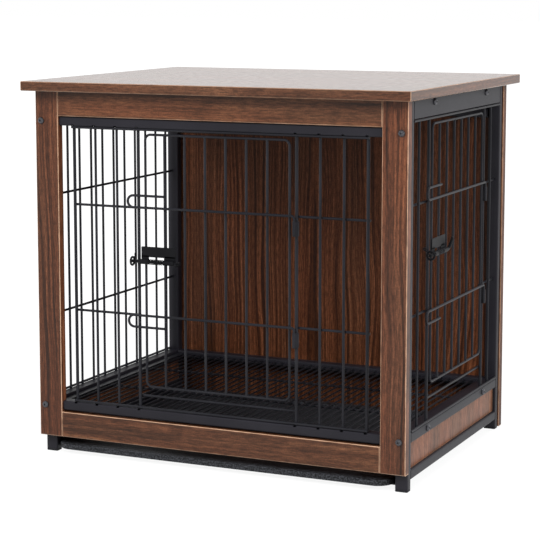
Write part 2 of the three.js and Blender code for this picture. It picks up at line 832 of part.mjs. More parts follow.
// The bolt: a round rod whose far end is bent into a handle. turn is the handle's angle from
// straight up, towards the outside.
function latchBolt(turn) {
  const lean = THREE.MathUtils.degToRad(turn);
  const reach = new THREE.Vector3(0, -Math.sin(lean), Math.cos(lean));
  const axis = new THREE.Vector3(0, -boltStandoff, boltLevel);
  const corner = axis.clone().add(new THREE.Vector3(boltEnd, 0, 0));
  const tip = axis.clone().add(new THREE.Vector3(boltTip, 0, 0));
  const knob = corner.clone().addScaledVector(reach, handleLength);
  const dome = boltDiameter / 4;
  const path = [
    tip,
    ...bentPath([tip.clone().addScaledVector(axes[0], dome), corner, knob], handleBend),
    knob.clone().addScaledVector(reach, dome),
  ];
  const across = reach.clone().cross(axes[0]);
  const ends = [0, path.length - 1];
  const radiusAt = (i) => (ends.includes(i) ? boltDiameter / 4 : boltDiameter / 2);
  return sweptTube(path, () => across, radiusAt, 8);
}

const washerStart = plateStart + firstKnuckleLength + seam;
const springStart = washerStart + washerThickness + seam;
const springEnd = lastKnuckleStart - seam;

function springWasher() {
  const ring = new THREE.Shape();
  ring.absarc(-boltStandoff, boltLevel, washerDiameter / 2, 0, 2 * Math.PI);
  const bore = new THREE.Path();
  bore.absarc(-boltStandoff, boltLevel, boltDiameter / 2 + seam, 0, 2 * Math.PI, true);
  ring.holes.push(bore);
  return extrudeAlong(0, ring, washerStart, washerStart + washerThickness);
}

// The spring round the bolt: a helix whose wire ends straight, square to the washer and knuckle
function latchSpring() {
  const stepsPerCurl = 8;
  const middle = (springDiameter - springWire) / 2;
  const steps = springCurls * stepsPerCurl;
  const start = springStart + springWire;
  const advance = (springEnd - springStart - 2 * springWire) / steps;
  const outward = (i) => {
    const angle = (Math.min(Math.max(i, 0), steps) / stepsPerCurl) * 2 * Math.PI;
    return new THREE.Vector3(0, Math.cos(angle), Math.sin(angle));
  };
  const axis = new THREE.Vector3(0, -boltStandoff, boltLevel);
  const pointAt = (i, along) =>
    axis.clone().addScaledVector(outward(i), middle).addScaledVector(axes[0], along);
  const centres = [
    pointAt(0, springStart),
    ...Array.from({ length: steps + 1 }, (_, i) => pointAt(i, start + i * advance)),
    pointAt(steps, springEnd),
  ];
  return { centres, facing: (i) => outward(i - 1), stepsPerCurl };
}

// The least gap between one curl of the spring and the next, measured on its centre line
function leastGap({ centres, stepsPerCurl }) {
  let least = Infinity;
  centres.forEach((point, i) => {
    for (let k = i + stepsPerCurl - 2; k < centres.length; k++) {
      least = Math.min(least, point.distanceTo(centres[k]) - springWire);
    }
  });
  return least;
}

// The keeper on the jamb: a wire ring that the bolt enters, a leg to the jamb and a curled end
function latchKeeper() {
  const ringAt = new THREE.Vector3(keeperPlace, -boltStandoff, boltLevel);
  const aroundAt = (centre, radius, angle) => {
    const arm = new THREE.Vector3(0, Math.cos(angle) * radius, Math.sin(angle) * radius);
    return arm.add(centre);
  };
  const circle = (centre, radius, steps) =>
    Array.from({ length: steps }, (_, i) => aroundAt(centre, radius, (i / steps) * 2 * Math.PI));
  const ringPath = circle(ringAt, keeperRadius, 14);
  const ring = sweptTube(ringPath, () => axes[0], () => keeperWire / 2, 6, true);
  const eyeAt = new THREE.Vector3(keeperPlace, keeperEyeRadius, boltLevel + keeperEyeRise);
  const eyePath = circle(eyeAt, keeperEyeRadius, 8);
  const eye = sweptTube(eyePath, () => axes[0], () => keeperEyeWire / 2, 5, true);
  const tailStart = aroundAt(ringAt, keeperRadius, Math.PI / 4);
  const tailEnd = aroundAt(eyeAt, keeperEyeRadius, -Math.PI / 2);
  const tail = sweptTube([tailStart, tailEnd], () => axes[0], () => keeperEyeWire / 2, 6);
  const legStart = aroundAt(ringAt, keeperRadius, 0);
  const jambFace = jambPlace - stoutDiameter / 2;
  const legEnd = new THREE.Vector3(jambFace, -keeperWire / 2, boltLevel);
  const leg = sweptTube([legStart, legEnd], () => axes[2], () => keeperWire / 2, 6);
  return join(ring, leg, tail, eye);
}

// ---- door sets ----

function addDoorSet(side, wallGroup, start, levelUp, handleTurn) {
  const set = new THREE.Group();
  set.position.set(start, 0, levelUp);
  wallGroup.add(set);
  addPiece(set, `${side}_door`, "blackSteel", doorGeometry());
  addPiece(set, `${side}_latch_plate`, "zincSteel", latchPlate());
  addPiece(set, `${side}_latch_bolt`, "zincSteel", latchBolt(handleTurn));
  addPiece(set, `${side}_spring_washer`, "zincSteel", springWasher());
  const spring = latchSpring();
  const wire = sweptTube(spring.centres, spring.facing, () => springWire / 2, 5);
  addPiece(set, `${side}_latch_spring`, "zincSteel", wire);
  addPiece(set, `${side}_latch_keeper`, "zincSteel", latchKeeper());
  console.log(`${side} latch spring: least gap between curls ${leastGap(spring).toFixed(2)} mm`);
}

// ---- screws ----

// A button head screw along +y: head above y = 0, shank below
function screwGeometry(shankLength) {
  const head = screwHeadDiameter / 2;
  const shank = screwShankDiameter / 2;
  const profile = [
    [0, -shankLength],
    [shank, -shankLength],
    [shank, 0],
    [head, 0],
    [head - screwHeadRounding / 4, screwHeadHeight / 2],
    [head - screwHeadRounding, screwHeadHeight],
    [0, screwHeadHeight],
  ].map(([x, y]) => new THREE.Vector2(x, y));
  const body = new THREE.LatheGeometry(profile, 10);
  const socketFloor = [0, screwHeadHeight - screwSocketDepth, 0];
  const socket = roundBar(1, socketFloor, screwHeadHeight, screwSocket, 6);
  return cut(body, socket);
}

function addScrew(name, position, turn, shankLength) {
  const mesh = addPiece(table, name, "zincSteel", screwGeometry(shankLength));
  mesh.position.set(...position);
  mesh.rotation.set(...turn);
}

function addScrews() {
  const throughBoard = boardThickness + screwBite;
  for (const side of ["left", "right"]) {
    const inset = fromSide[side](stileScrewInset);
    for (const [height, up] of Object.entries(stileScrewLevels)) {
      const front = [inset, -seam, up];
      const back = [inset, carcassDepth + seam, up];
      addScrew(`front_${side}_${height}_screw`, front, [Math.PI, 0, 0], throughBoard);
      addScrew(`back_${side}_${height}_screw`, back, [0, 0, 0], throughBoard);
    }
    const face = fromSide[side](frameLeft - seam);
    const turn = [0, 0, side === "left" ? Math.PI / 2 : -Math.PI / 2];
    const rows = [
      ["top", sideTopScrews, boardTop - sideTopScrewDrop],
      ["lower", sideLowerScrews, bottomBarCentre],
    ];
    for (const [row, places, up] of rows) {
      places.forEach((along, i) => {
        addScrew(`${side}_${row}_rail_screw_${i + 1}`, [face, along, up], turn, screwBite);
      });
    }
  }
}

addBoards();
addFrame();
addFeet();
addTray();
addFrontPanel();
addRightPanel();
addLeftPanel();
addFloor();
addDoorSet("front", frontWall, frontDoorStart, frontDoorLevel, frontHandleTurn);
addDoorSet("right", rightWall, sideDoorStart, sideDoorLevel, sideHandleTurn);
addScrews();

// The origin is on the floor under the middle of the top board
table.position.set(-carcassWidth / 2, frontOverhang - topDepth / 2, 0);

export default table;
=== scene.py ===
from math import cos, pi, radians, sin

import bmesh
import bpy
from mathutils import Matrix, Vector


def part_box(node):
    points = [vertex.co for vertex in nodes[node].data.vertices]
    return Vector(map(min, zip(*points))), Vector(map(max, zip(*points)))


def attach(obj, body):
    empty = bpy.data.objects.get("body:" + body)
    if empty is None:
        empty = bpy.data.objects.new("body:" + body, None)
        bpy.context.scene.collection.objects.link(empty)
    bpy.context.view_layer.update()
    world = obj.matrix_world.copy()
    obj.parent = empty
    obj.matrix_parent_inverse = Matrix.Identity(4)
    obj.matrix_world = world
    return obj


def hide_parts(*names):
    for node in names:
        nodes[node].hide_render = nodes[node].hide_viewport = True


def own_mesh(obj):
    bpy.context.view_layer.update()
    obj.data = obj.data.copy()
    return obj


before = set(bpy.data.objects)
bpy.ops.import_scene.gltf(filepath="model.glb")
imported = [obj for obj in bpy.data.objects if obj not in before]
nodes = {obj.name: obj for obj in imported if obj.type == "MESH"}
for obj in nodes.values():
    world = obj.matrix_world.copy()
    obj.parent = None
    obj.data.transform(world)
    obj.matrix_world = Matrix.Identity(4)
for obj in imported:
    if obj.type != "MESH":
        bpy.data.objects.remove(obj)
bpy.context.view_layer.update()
print("frame loaded:", len(nodes), "nodes")

# The drawing is in millimetres from the left front corner of the crate, on the floor
table = {
    "width": 626, "frontOverhang": 24, "topDepth": 536,
    "frontWallDepth": 10.4, "rightWall": 619.1, "leftWall": 6.9,
    "railFront": 30.6, "railBack": 446.4, "stout": 5, "wire": 4,
}

# the front panel's wires, which also set the notches in the front bars
frontWires = {"first": 64.3, "jamb": 178.2, "hinge": 445.9, "last": 560.5, "low": 85.4, "high": 532.1,
              "threshold": 107.5, "overlap": 5, "mids": (236, 405.5), "top": 528.1, "bottom": 89.8}


def place(x, y, z):
    return Vector((x - table["width"] / 2, y + table["frontOverhang"] - table["topDepth"] / 2, z)) / 1000


def wallPoint(wall, along, depth, up):
    # a point on one of the three wire walls: along it, into the crate, and up
    if wall == "front":
        return place(along, table["frontWallDepth"] + depth, up)
    if wall == "right":
        return place(table["rightWall"] - depth, along, up)
    return place(table["leftWall"] + depth, table["railBack"] - along, up)


def wallTurn(wall, along, depth, up):
    # the same for a direction
    return wallPoint(wall, along, depth, up) - wallPoint(wall, 0, 0, 0)


def hexColor(code):
    # sRGB hex to the linear values that Blender works in
    channels = [int(code[i:i + 2], 16) / 255 for i in (1, 3, 5)]
    return [c / 12.92 if c <= 0.04045 else ((c + 0.055) / 1.055) ** 2.4 for c in channels] + [1]


def addNode(tree, kind, settings=None, inputs=None):
    node = tree.nodes.new(kind)
    for key, value in (settings or {}).items():
        setattr(node, key, value)
    for key, value in (inputs or {}).items():
        if isinstance(value, bpy.types.NodeSocket):
            tree.links.new(value, node.inputs[key])
        else:
            node.inputs[key].default_value = value
    return node


def newMaterial(name, rough, settings=None):
    # a Principled surface, with the tree left open for its pattern
    material = bpy.data.materials.new(name)
    material.use_nodes = True
    tree = material.node_tree
    shader = tree.nodes["Principled BSDF"]
    shader.inputs["Roughness"].default_value = rough
    for key, value in (settings or {}).items():
        shader.inputs[key].default_value = value
    return material, tree, shader


def colorSteps(tree, factor, steps):
    ramp = addNode(tree, "ShaderNodeValToRGB", None, {"Fac": factor})
    while len(ramp.color_ramp.elements) < len(steps):
        ramp.color_ramp.elements.new(0.5)
    for element, (position, code) in zip(ramp.color_ramp.elements, steps):
        element.position = position
        element.color = hexColor(code)
    return ramp.outputs["Color"]


# Walnut-look melamine on chipboard: printed grain under a thin satin film; its pale edge lines are painted highlight
# along the rounded edges together with the edging's pale glue line
walnut = {
    "grain": [(0.18, "#2c1a12"), (0.36, "#432718"), (0.52, "#553322"), (0.68, "#65402c"), (0.88, "#784e37")],
    # colour of the pale edge lines: painted highlight along the rounded edges together with the glue line of the edging
    "edge": "#c4a084",
    "edgeWidth": 0.0015,     # the pale edge lines, painted highlight and glue line, are 1 mm: drawn wider so that they show
    "edgeSheenAndGluePatches": 60,              # patches where the painted highlight and glue line on the edges are wider or narrower
    "tape": 0.0004,          # thickness of the edging tape
    "rough": 0.38,
    "gloss": 0.28,           # a thin printed film reflects less than solid plastic
    "ringSpacing": 0.0052,   # between the growth rings of the print
    "ringLean": 0.014,
    "heart": 0.00012,        # how far behind the face the rings' middle lies, squared
    "wave": (2.2, 9, 9), "swing": 0.013,       # slow waves that bend the grain
    "streak": (2.2, 170, 170),                 # long streaks about 6 mm wide
    "patch": (2.5, 22, 22),                    # greyer and redder patches
    "flitch": 0.21,          # width of one arch of the print
    "poreWidth": 0.0017,     # real pores are 0.3 mm: drawn coarser so that they show
    "poreLength": 0.013,
    "speckle": 0.0021,       # fine print dots, also drawn coarser
    "bump": {"Strength": 0.25, "Distance": 0.0001},
}

# grain direction, share of arches, shifts along and across the print, brightness, pale edges (painted highlight and
# glue line);
# spread is the softness of the grain, tints are its greyer and redder patches, sides is painted side light:
# how much paler the long side faces are painted; drop is how far a board is drawn below its solid, in metres
greyer, redder = ("#dde6e2", "#f6efe4"), ("#e6e4e2", "#fff0e6")
boards = {
    "top_board": {"along": "X", "arches": 0.3, "shift": 0.31, "offset": 0.02, "value": 0.86, "edges": 0.5,
                  "spread": 0.34, "tints": greyer, "rough": 0.14, "banded": True},
    "front_left_stile": {"along": "Z", "arches": 0.3, "shift": 1.72, "offset": 0.06, "value": 0.72, "edges": 1.0,
                         "spread": 0.22, "tints": redder, "sides": 1.35},
    "front_right_stile": {"along": "Z", "arches": 0.35, "shift": 2.55, "offset": 0.09, "value": 0.84, "edges": 1.0,
                          "spread": 0.24, "tints": redder, "sides": 1.35},
    "front_top_rail": {"along": "X", "arches": 0.4, "shift": 3.18, "offset": 0.07, "value": 0.92, "edges": 0.9,
                       "spread": 0.24, "tints": greyer},
    "front_bottom_rail": {"along": "X", "arches": 0.4, "shift": 4.07, "offset": 0.055, "value": 0.8, "edges": 0.9,
                          "spread": 0.26, "tints": greyer},
    "back_panel": {"along": "Z", "arches": 0.42, "shift": 5.41, "offset": 0.03, "value": 0.82, "edges": 0.7,
                   "spread": 0.21, "tints": redder, "gloss": 0.1},
    # both side boards are painted far lighter than the front boards: painted side light and sheen
    "left_infill_board": {"along": "Z", "arches": 0.2, "shift": 6.9, "offset": 0.05, "value": 1.6, "edges": 0.5,
                          "spread": 0.36, "tints": greyer, "drop": 0.0042},
    "right_infill_board": {"along": "Z", "arches": 0.2, "shift": 7.6, "offset": 0.06, "value": 1.7, "edges": 0.5,
                           "spread": 0.36, "tints": greyer, "drop": 0.0042},
}


def walnutLaminate(name, board):
    w = walnut
    satin = board.get("rough", w["rough"])
    material, tree, shader = newMaterial("walnutLaminate_" + name, satin,
                                         {"Specular IOR Level": board.get("gloss", w["gloss"])})
    low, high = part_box(name)
    low = low - Vector((0, 0, board.get("drop", 0)))
    centre, half = (low + high) / 2, (high - low) / 2
    here = addNode(tree, "ShaderNodeTexCoord").outputs["Object"]
    fromCentre = addNode(tree, "ShaderNodeVectorMath", {"operation": "SUBTRACT"}, {0: here, 1: centre}).outputs[0]
    # the grain is worked out in a frame whose x runs along it
    axes = addNode(tree, "ShaderNodeSeparateXYZ", None, {0: fromCentre}).outputs
    order = ["X", "Y", "Z"] if board["along"] == "X" else ["Z", "X", "Y"]
    run, across, through = [axes[letter] for letter in order]
    # distance to each pair of faces
    inside = addNode(tree, "ShaderNodeVectorMath", {"operation": "ABSOLUTE"}, {0: fromCentre}).outputs[0]
    toFaces = addNode(tree, "ShaderNodeVectorMath", {"operation": "SUBTRACT"}, {0: half, 1: inside}).outputs[0]
    faces = addNode(tree, "ShaderNodeSeparateXYZ", None, {0: toFaces}).outputs
    if board.get("banded"):   # the tape on the short ends has its grain along the end
        onEnd = addNode(tree, "ShaderNodeMath", {"operation": "LESS_THAN"}, {0: faces["X"], 1: w["tape"]}).outputs[0]
        run = addNode(tree, "ShaderNodeMix", None, {0: onEnd, 2: run, 3: axes["Y"]}).outputs[0]
        across = addNode(tree, "ShaderNodeMix", None, {0: onEnd, 2: across, 3: axes["Z"]}).outputs[0]
    across = addNode(tree, "ShaderNodeMath", {"operation": "ADD"}, {0: across, 1: board["offset"]}).outputs[0]
    shifted = addNode(tree, "ShaderNodeMath", {"operation": "ADD"}, {0: run, 1: board["shift"]}).outputs[0]
    depth = addNode(tree, "ShaderNodeMath", {"operation": "ADD"}, {0: through, 1: board["shift"] * 0.37}).outputs[0]
    grainPoint = addNode(tree, "ShaderNodeCombineXYZ", None, {0: shifted, 1: across, 2: depth}).outputs[0]
    # slow waves in the grain
    waved = addNode(tree, "ShaderNodeVectorMath", {"operation": "MULTIPLY"}, {0: grainPoint, 1: w["wave"]}).outputs[0]
    wave = addNode(tree, "ShaderNodeTexNoise", None, {"Vector": waved, "Scale": 1, "Detail": 2}).outputs["Fac"]
    swing = addNode(tree, "ShaderNodeMapRange", None,
                    {"Value": wave, 1: 0.2, 2: 0.8, 3: -w["swing"], 4: w["swing"]}).outputs[0]
    bent = addNode(tree, "ShaderNodeMath", {"operation": "ADD"}, {0: across, 1: swing}).outputs[0]
    bentPoint = addNode(tree, "ShaderNodeCombineXYZ", None, {0: shifted, 1: bent, 2: depth}).outputs[0]
    # long streaks
    streakPoint = addNode(tree, "ShaderNodeVectorMath", {"operation": "MULTIPLY"},
                          {0: bentPoint, 1: w["streak"]}).outputs[0]
    streak = addNode(tree, "ShaderNodeTexNoise", None,
                     {"Vector": streakPoint, "Scale": 1, "Detail": 5, "Roughness": 0.62}).outputs["Fac"]
    # arches: rings round a line that lies behind the board's face and leans along it
    inFlitch = addNode(tree, "ShaderNodeMath", {"operation": "PINGPONG"},
                       {0: bent, 1: w["flitch"] / 2}).outputs[0]
    squared = addNode(tree, "ShaderNodeMath", {"operation": "MULTIPLY"}, {0: inFlitch, 1: inFlitch}).outputs[0]
    behind = addNode(tree, "ShaderNodeMath", {"operation": "ADD"}, {0: squared, 1: w["heart"]}).outputs[0]
    ring = addNode(tree, "ShaderNodeMath", {"operation": "SQRT"}, {0: behind}).outputs[0]
    leaning = addNode(tree, "ShaderNodeMath", {"operation": "MULTIPLY_ADD"},
                      {0: shifted, 1: w["ringLean"], 2: ring}).outputs[0]
    rings = addNode(tree, "ShaderNodeTexNoise", {"noise_dimensions": "1D"},
                    {"W": leaning, "Scale": 1 / w["ringSpacing"], "Detail": 2, "Roughness": 0.6}).outputs["Fac"]
    figure = addNode(tree, "ShaderNodeMix", None, {0: board["arches"], 2: streak, 3: rings}).outputs[0]
    stretched = addNode(tree, "ShaderNodeMapRange", None,
                        {"Value": figure, 1: 0.5 - board["spread"], 2: 0.5 + board["spread"]}).outputs[0]
    color = colorSteps(tree, stretched, w["grain"])
    # patches that are greyer or redder
    patchPoint = addNode(tree, "ShaderNodeVectorMath", {"operation": "MULTIPLY"},
                         {0: bentPoint, 1: w["patch"]}).outputs[0]
    patch = addNode(tree, "ShaderNodeTexNoise", None, {"Vector": patchPoint, "Scale": 1, "Detail": 1}).outputs["Fac"]
    tint = colorSteps(tree, patch, [(0.35, board["tints"][0]), (0.65, board["tints"][1])])
    tinted = addNode(tree, "ShaderNodeMix", {"data_type": "RGBA", "blend_type": "MULTIPLY"},
                     {0: 1, 6: color, 7: tint}).outputs[2]
    # pores: short thin lines, darker and a little rougher than the film
    poreScale = (1 / w["poreLength"], 1 / w["poreWidth"], 1 / w["poreWidth"])
    porePoint = addNode(tree, "ShaderNodeVectorMath", {"operation": "MULTIPLY"},
                        {0: bentPoint, 1: poreScale}).outputs[0]
    pore = addNode(tree, "ShaderNodeTexNoise", None, {"Vector": porePoint, "Scale": 1, "Detail": 2}).outputs["Fac"]
    poreDark = addNode(tree, "ShaderNodeMapRange", None, {"Value": pore, 1: 0.34, 2: 0.6, 3: 0.55, 4: 1.15}).outputs[0]
    dots = addNode(tree, "ShaderNodeTexNoise", None,
                   {"Vector": here, "Scale": 1 / w["speckle"], "Detail": 1}).outputs["Fac"]
    dotDark = addNode(tree, "ShaderNodeMapRange", None,
                      {"Value": dots, 1: 0.3, 2: 0.7, 3: 0.8 * board["value"], 4: 1.2 * board["value"]}).outputs[0]
    valued = addNode(tree, "ShaderNodeMath", {"operation": "MULTIPLY"}, {0: poreDark, 1: dotDark}).outputs[0]
    if board.get("sides"):   # the long side faces are painted paler: painted side light
        paintedSideLight = addNode(tree, "ShaderNodeMath", {"operation": "LESS_THAN"}, {0: faces["X"], 1: w["tape"]}).outputs[0]
        valued = addNode(tree, "ShaderNodeMath", {"operation": "MULTIPLY_ADD"},
                         {0: paintedSideLight, 1: board["sides"] - 1, 2: valued}).outputs[0]
    toned = addNode(tree, "ShaderNodeVectorMath", {"operation": "SCALE"}, {0: tinted, "Scale": valued}).outputs[0]
    # distance to the nearest edge of the board: the second smallest distance to its faces
    nearer = addNode(tree, "ShaderNodeMath", {"operation": "MINIMUM"}, {0: faces["X"], 1: faces["Y"]}).outputs[0]
    farther = addNode(tree, "ShaderNodeMath", {"operation": "MAXIMUM"}, {0: faces["X"], 1: faces["Y"]}).outputs[0]
    middle = addNode(tree, "ShaderNodeMath", {"operation": "MINIMUM"}, {0: farther, 1: faces["Z"]}).outputs[0]
    toEdge = addNode(tree, "ShaderNodeMath", {"operation": "MAXIMUM"}, {0: nearer, 1: middle}).outputs[0]
    # pale edge line: painted highlight along the rounded edges together with the glue line of the edging
    edgeSheenAndGluePatches = addNode(tree, "ShaderNodeTexNoise", None, {"Vector": here, "Scale": w["edgeSheenAndGluePatches"], "Detail": 3}).outputs["Fac"]
    reach = addNode(tree, "ShaderNodeMapRange", None,
                    {"Value": edgeSheenAndGluePatches, 1: 0.3, 2: 0.7, 3: 0.8 * w["edgeWidth"], 4: 1.2 * w["edgeWidth"]}).outputs[0]
    edge = addNode(tree, "ShaderNodeMapRange", {"interpolation_type": "SMOOTHSTEP"},
                   {"Value": toEdge, 1: 0, 2: reach, 3: board["edges"], 4: 0}).outputs[0]
    final = addNode(tree, "ShaderNodeMix", {"data_type": "RGBA"},
                    {0: edge, 6: toned, 7: hexColor(w["edge"])}).outputs[2]
    tree.links.new(final, shader.inputs["Base Color"])
    rough = addNode(tree, "ShaderNodeMapRange", None,
                    {"Value": pore, 1: 0.35, 2: 0.6, 3: satin + 0.08, 4: satin}).outputs[0]
    tree.links.new(rough, shader.inputs["Roughness"])
    bump = addNode(tree, "ShaderNodeBump", None, {**w["bump"], "Height": pore}).outputs[0]
    tree.links.new(bump, shader.inputs["Normal"])
    return material


def coatedSteel(name, coat):
    # Powder coat: a thick satin paint with a fine orange-peel skin, baked on steel
    material, tree, shader = newMaterial(name, coat["rough"], {"IOR": 1.5, "Specular IOR Level": coat["gloss"]})
    here = addNode(tree, "ShaderNodeTexCoord").outputs["Object"]
    peel = addNode(tree, "ShaderNodeTexNoise", None,
                   {"Vector": here, "Scale": 1 / coat["peel"], "Detail": 2}).outputs["Fac"]
    clouds = addNode(tree, "ShaderNodeTexNoise", None, {"Vector": here, "Scale": 9, "Detail": 3}).outputs["Fac"]
    color = colorSteps(tree, clouds, [(0.35, coat["dark"]), (0.65, coat["light"])])
    tree.links.new(color, shader.inputs["Base Color"])
    rough = addNode(tree, "ShaderNodeMapRange", None,
                    {"Value": peel, 1: 0.3, 2: 0.7, 3: coat["rough"] - 0.05, 4: coat["rough"] + 0.06}).outputs[0]
    tree.links.new(rough, shader.inputs["Roughness"])
    bump = addNode(tree, "ShaderNodeBump", None,
                   {"Strength": coat["bump"], "Distance": 0.0002, "Height": peel}).outputs[0]
    tree.links.new(bump, shader.inputs["Normal"])
    return material


# real orange peel is 0.5 mm wide: drawn coarser so that it shows
coats = {
    "frame": {"dark": "#151419", "light": "#1c1b20", "rough": 0.44, "gloss": 0.2, "peel": 0.0009, "bump": 0.3},
    "wire": {"dark": "#121216", "light": "#1b1b1f", "rough": 0.42, "gloss": 0.18, "peel": 0.0011, "bump": 0.2},
    "latch": {"dark": "#0b0b0d", "light": "#121214", "rough": 0.45, "gloss": 0.1, "peel": 0.0012, "bump": 0.25},
}

frameSteel = coatedSteel("powderCoatedSteelTube", coats["frame"])
wireSteel = coatedSteel("powderCoatedSteelWire", coats["wire"])
latchSteel = coatedSteel("paintedSteelLatch", coats["latch"])


def blackenedSteel(name, dark, light, rough):
    # Blackened steel: a thin oxide film, so it is dark but still shines like metal
    material, tree, shader = newMaterial(name, rough, {"Metallic": 0.85})
    here = addNode(tree, "ShaderNodeTexCoord").outputs["Object"]
    mottle = addNode(tree, "ShaderNodeTexNoise", None, {"Vector": here, "Scale": 900, "Detail": 3}).outputs["Fac"]
    tree.links.new(colorSteps(tree, mottle, [(0.3, dark), (0.7, light)]), shader.inputs["Base Color"])
    worn = addNode(tree, "ShaderNodeMapRange", None,
                   {"Value": mottle, 1: 0.3, 2: 0.7, 3: rough - 0.06, 4: rough + 0.08}).outputs[0]
    tree.links.new(worn, shader.inputs["Roughness"])
    return material


springSteel = blackenedSteel("blackenedSpringWire", "#18181a", "#2c2c2f", 0.4)
screwSteel = blackenedSteel("blackOxideScrew", "#3c3c40", "#5c5c60", 0.3)


def mouldedPlastic(name, plastic):
    # Injection-moulded plastic with a fine leather grain pressed into it, drawn coarser so that it shows
    material, tree, shader = newMaterial(name, plastic["rough"], {"IOR": 1.49, "Specular IOR Level": plastic["gloss"]})
    here = addNode(tree, "ShaderNodeTexCoord").outputs["Object"]
    cells = addNode(tree, "ShaderNodeTexVoronoi", {"feature": "DISTANCE_TO_EDGE"},
                    {"Vector": here, "Scale": 1 / plastic["grain"]}).outputs["Distance"]
    # the light specks in the colour, strong on the tray, are painted glints on the leather grain
    paintedGlints = addNode(tree, "ShaderNodeTexNoise", None,
                     {"Vector": here, "Scale": 1 / plastic["speck"], "Detail": 2}).outputs["Fac"]
    tree.links.new(colorSteps(tree, paintedGlints, [(0.42, plastic["dark"]), (0.62, plastic["light"])]),
                   shader.inputs["Base Color"])
    bump = addNode(tree, "ShaderNodeBump", None,
                   {"Strength": plastic["bump"], "Distance": 0.0003, "Height": cells}).outputs[0]
    tree.links.new(bump, shader.inputs["Normal"])
    return material


trayPlastic = mouldedPlastic("leatherGrainPolypropylene", {
    "dark": "#0a0b0c", "light": "#38393d", "rough": 0.48, "gloss": 0.16, "grain": 0.0024, "speck": 0.0026, "bump": 0.5})
footPlastic = mouldedPlastic("mattPolyethyleneCap", {
    "dark": "#131316", "light": "#1b1b1e", "rough": 0.55, "gloss": 0.25, "grain": 0.001, "speck": 0.002, "bump": 0.15})
print("finishes ready")

# each board has a print of its own; all but the infill boards keep their CAD shape
for boardName, board in boards.items():
    nodes[boardName].material_slots[0].material = walnutLaminate(boardName, board)
print("boards:", len(boards))


def newPiece(name, bm=None):
    mesh = bpy.data.meshes.new(name)
    if bm:
        bm.to_mesh(mesh)
        bm.free()
    piece = bpy.data.objects.new(name, mesh)
    bpy.context.scene.collection.objects.link(piece)
    return piece


def handOver(piece, body, replaced=()):
    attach(piece, body)
    if replaced:
        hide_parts(*replaced)


def softenShading(bm, sharpFrom=35):
    bmesh.ops.recalc_face_normals(bm, faces=bm.faces)
    for face in bm.faces:
        face.smooth = True
    for edge in bm.edges:
        edge.smooth = len(edge.link_faces) == 2 and edge.calc_face_angle(0) < radians(sharpFrom)


def finishPiece(bm, name, finish, body, replaced=(), sharpFrom=35):
    softenShading(bm, sharpFrom)
    piece = newPiece(name, bm)
    piece.data.materials.append(finish)
    handOver(piece, body, replaced)


def toPlainMesh(piece):
    # the modifiers' result becomes the mesh, and the modifiers go
    evaluated = piece.evaluated_get(bpy.context.evaluated_depsgraph_get())
    made = bpy.data.meshes.new_from_object(evaluated)
    piece.modifiers.clear()
    piece.data = made


def outlinePoints(size, inset, corner, steps):
    # a rounded rectangle round the origin, anticlockwise, with the same count for any inset
    halfWide, halfTall = size[0] / 2 - inset, size[1] / 2 - inset
    radius = min(max(corner - inset, 0.05), halfWide, halfTall)
    points = []
    for k, (sideX, sideY) in enumerate([(1, 1), (-1, 1), (-1, -1), (1, -1)]):
        for step in range(steps + 1):
            angle = (k + step / steps) * pi / 2
            points.append((sideX * (halfWide - radius) + radius * cos(angle),
                           sideY * (halfTall - radius) + radius * sin(angle)))
    return points


def loft(bm, size, corner, rings, toPoint, hollow=False, steps=4):
    # rounded rectangles one above the other; a hollow loft closes its last ring on its first
    made = []
    for inset, level in rings:
        made.append([bm.verts.new(toPoint(x, y, level)) for x, y in outlinePoints(size, inset, corner, steps)])
    count = len(made[0])
    pairs = list(zip(made, made[1:])) + ([(made[-1], made[0])] if hollow else [])
    for lower, upper in pairs:
        for i in range(count):
            bm.faces.new([lower[i], lower[(i + 1) % count], upper[(i + 1) % count], upper[i]])
    if not hollow:
        bm.faces.new(list(reversed(made[0])))
        bm.faces.new(made[-1])


def blockRings(low, high, soft):
    return [(soft, low), (0, low + soft), (0, high - soft), (soft, high)]


def alongAxis(axis, middle):
    # puts a section drawn round the origin on a line along X, Y or Z, in drawing millimetres
    def toPoint(a, b, level):
        spots = {"X": (level, middle[0] + a, middle[1] + b),
                 "Y": (middle[0] + a, level, middle[1] + b),
                 "Z": (middle[0] + a, middle[1] + b, level)}
        return place(*spots[axis])
    return toPoint


# steel tube frame
steelFrame = {
    "wall": 1.2, "corner": 2.2, "burr": 0.25, "flatCorner": 0.8, "flatSoft": 0.3,
    "post": (20, 15), "footTop": 3.3, "boardTop": 584.7,
    "postMiddles": {"front": 22.8, "rear": 454.2}, "sideMiddles": {"left": 12, "right": 614},
    "rails": {"top": (555, 584.7), "lower": (72.5, 87.5), "bottom": (16.5, 31)},
    "railWidth": 20,
    "ledge": {"reach": (-0.5, 12), "levels": (74.3, 76.5), "back": 441.4},           # carries the floor grid
    "runner": {"reach": (-3, 15), "levels": (5.7, 7.7), "web": -1.6, "webTop": 17},  # carries the tray
    "bars": {"top": (530, 545), "bottom": (72.5, 87.5)}, "bar": (20, 15),
    "backBar": {"ends": (22.3, 603.7), "middle": 451.7}, "frontBar": {"ends": (40.8, 585.2), "middle": 14},
    "lug": {"length": 30, "depths": (15.4, 23.9), "inset": 1.5},
    "notch": {"width": 5, "depth": 2.4, "overrun": 1, "length": 12, "middle": 7, "corner": 0.6},
}


def tubeRings(start, end):
    wall, burr = steelFrame["wall"], steelFrame["burr"]
    return [(wall, start), (burr, start), (0, start + burr), (0, end - burr), (burr, end), (wall, end)]


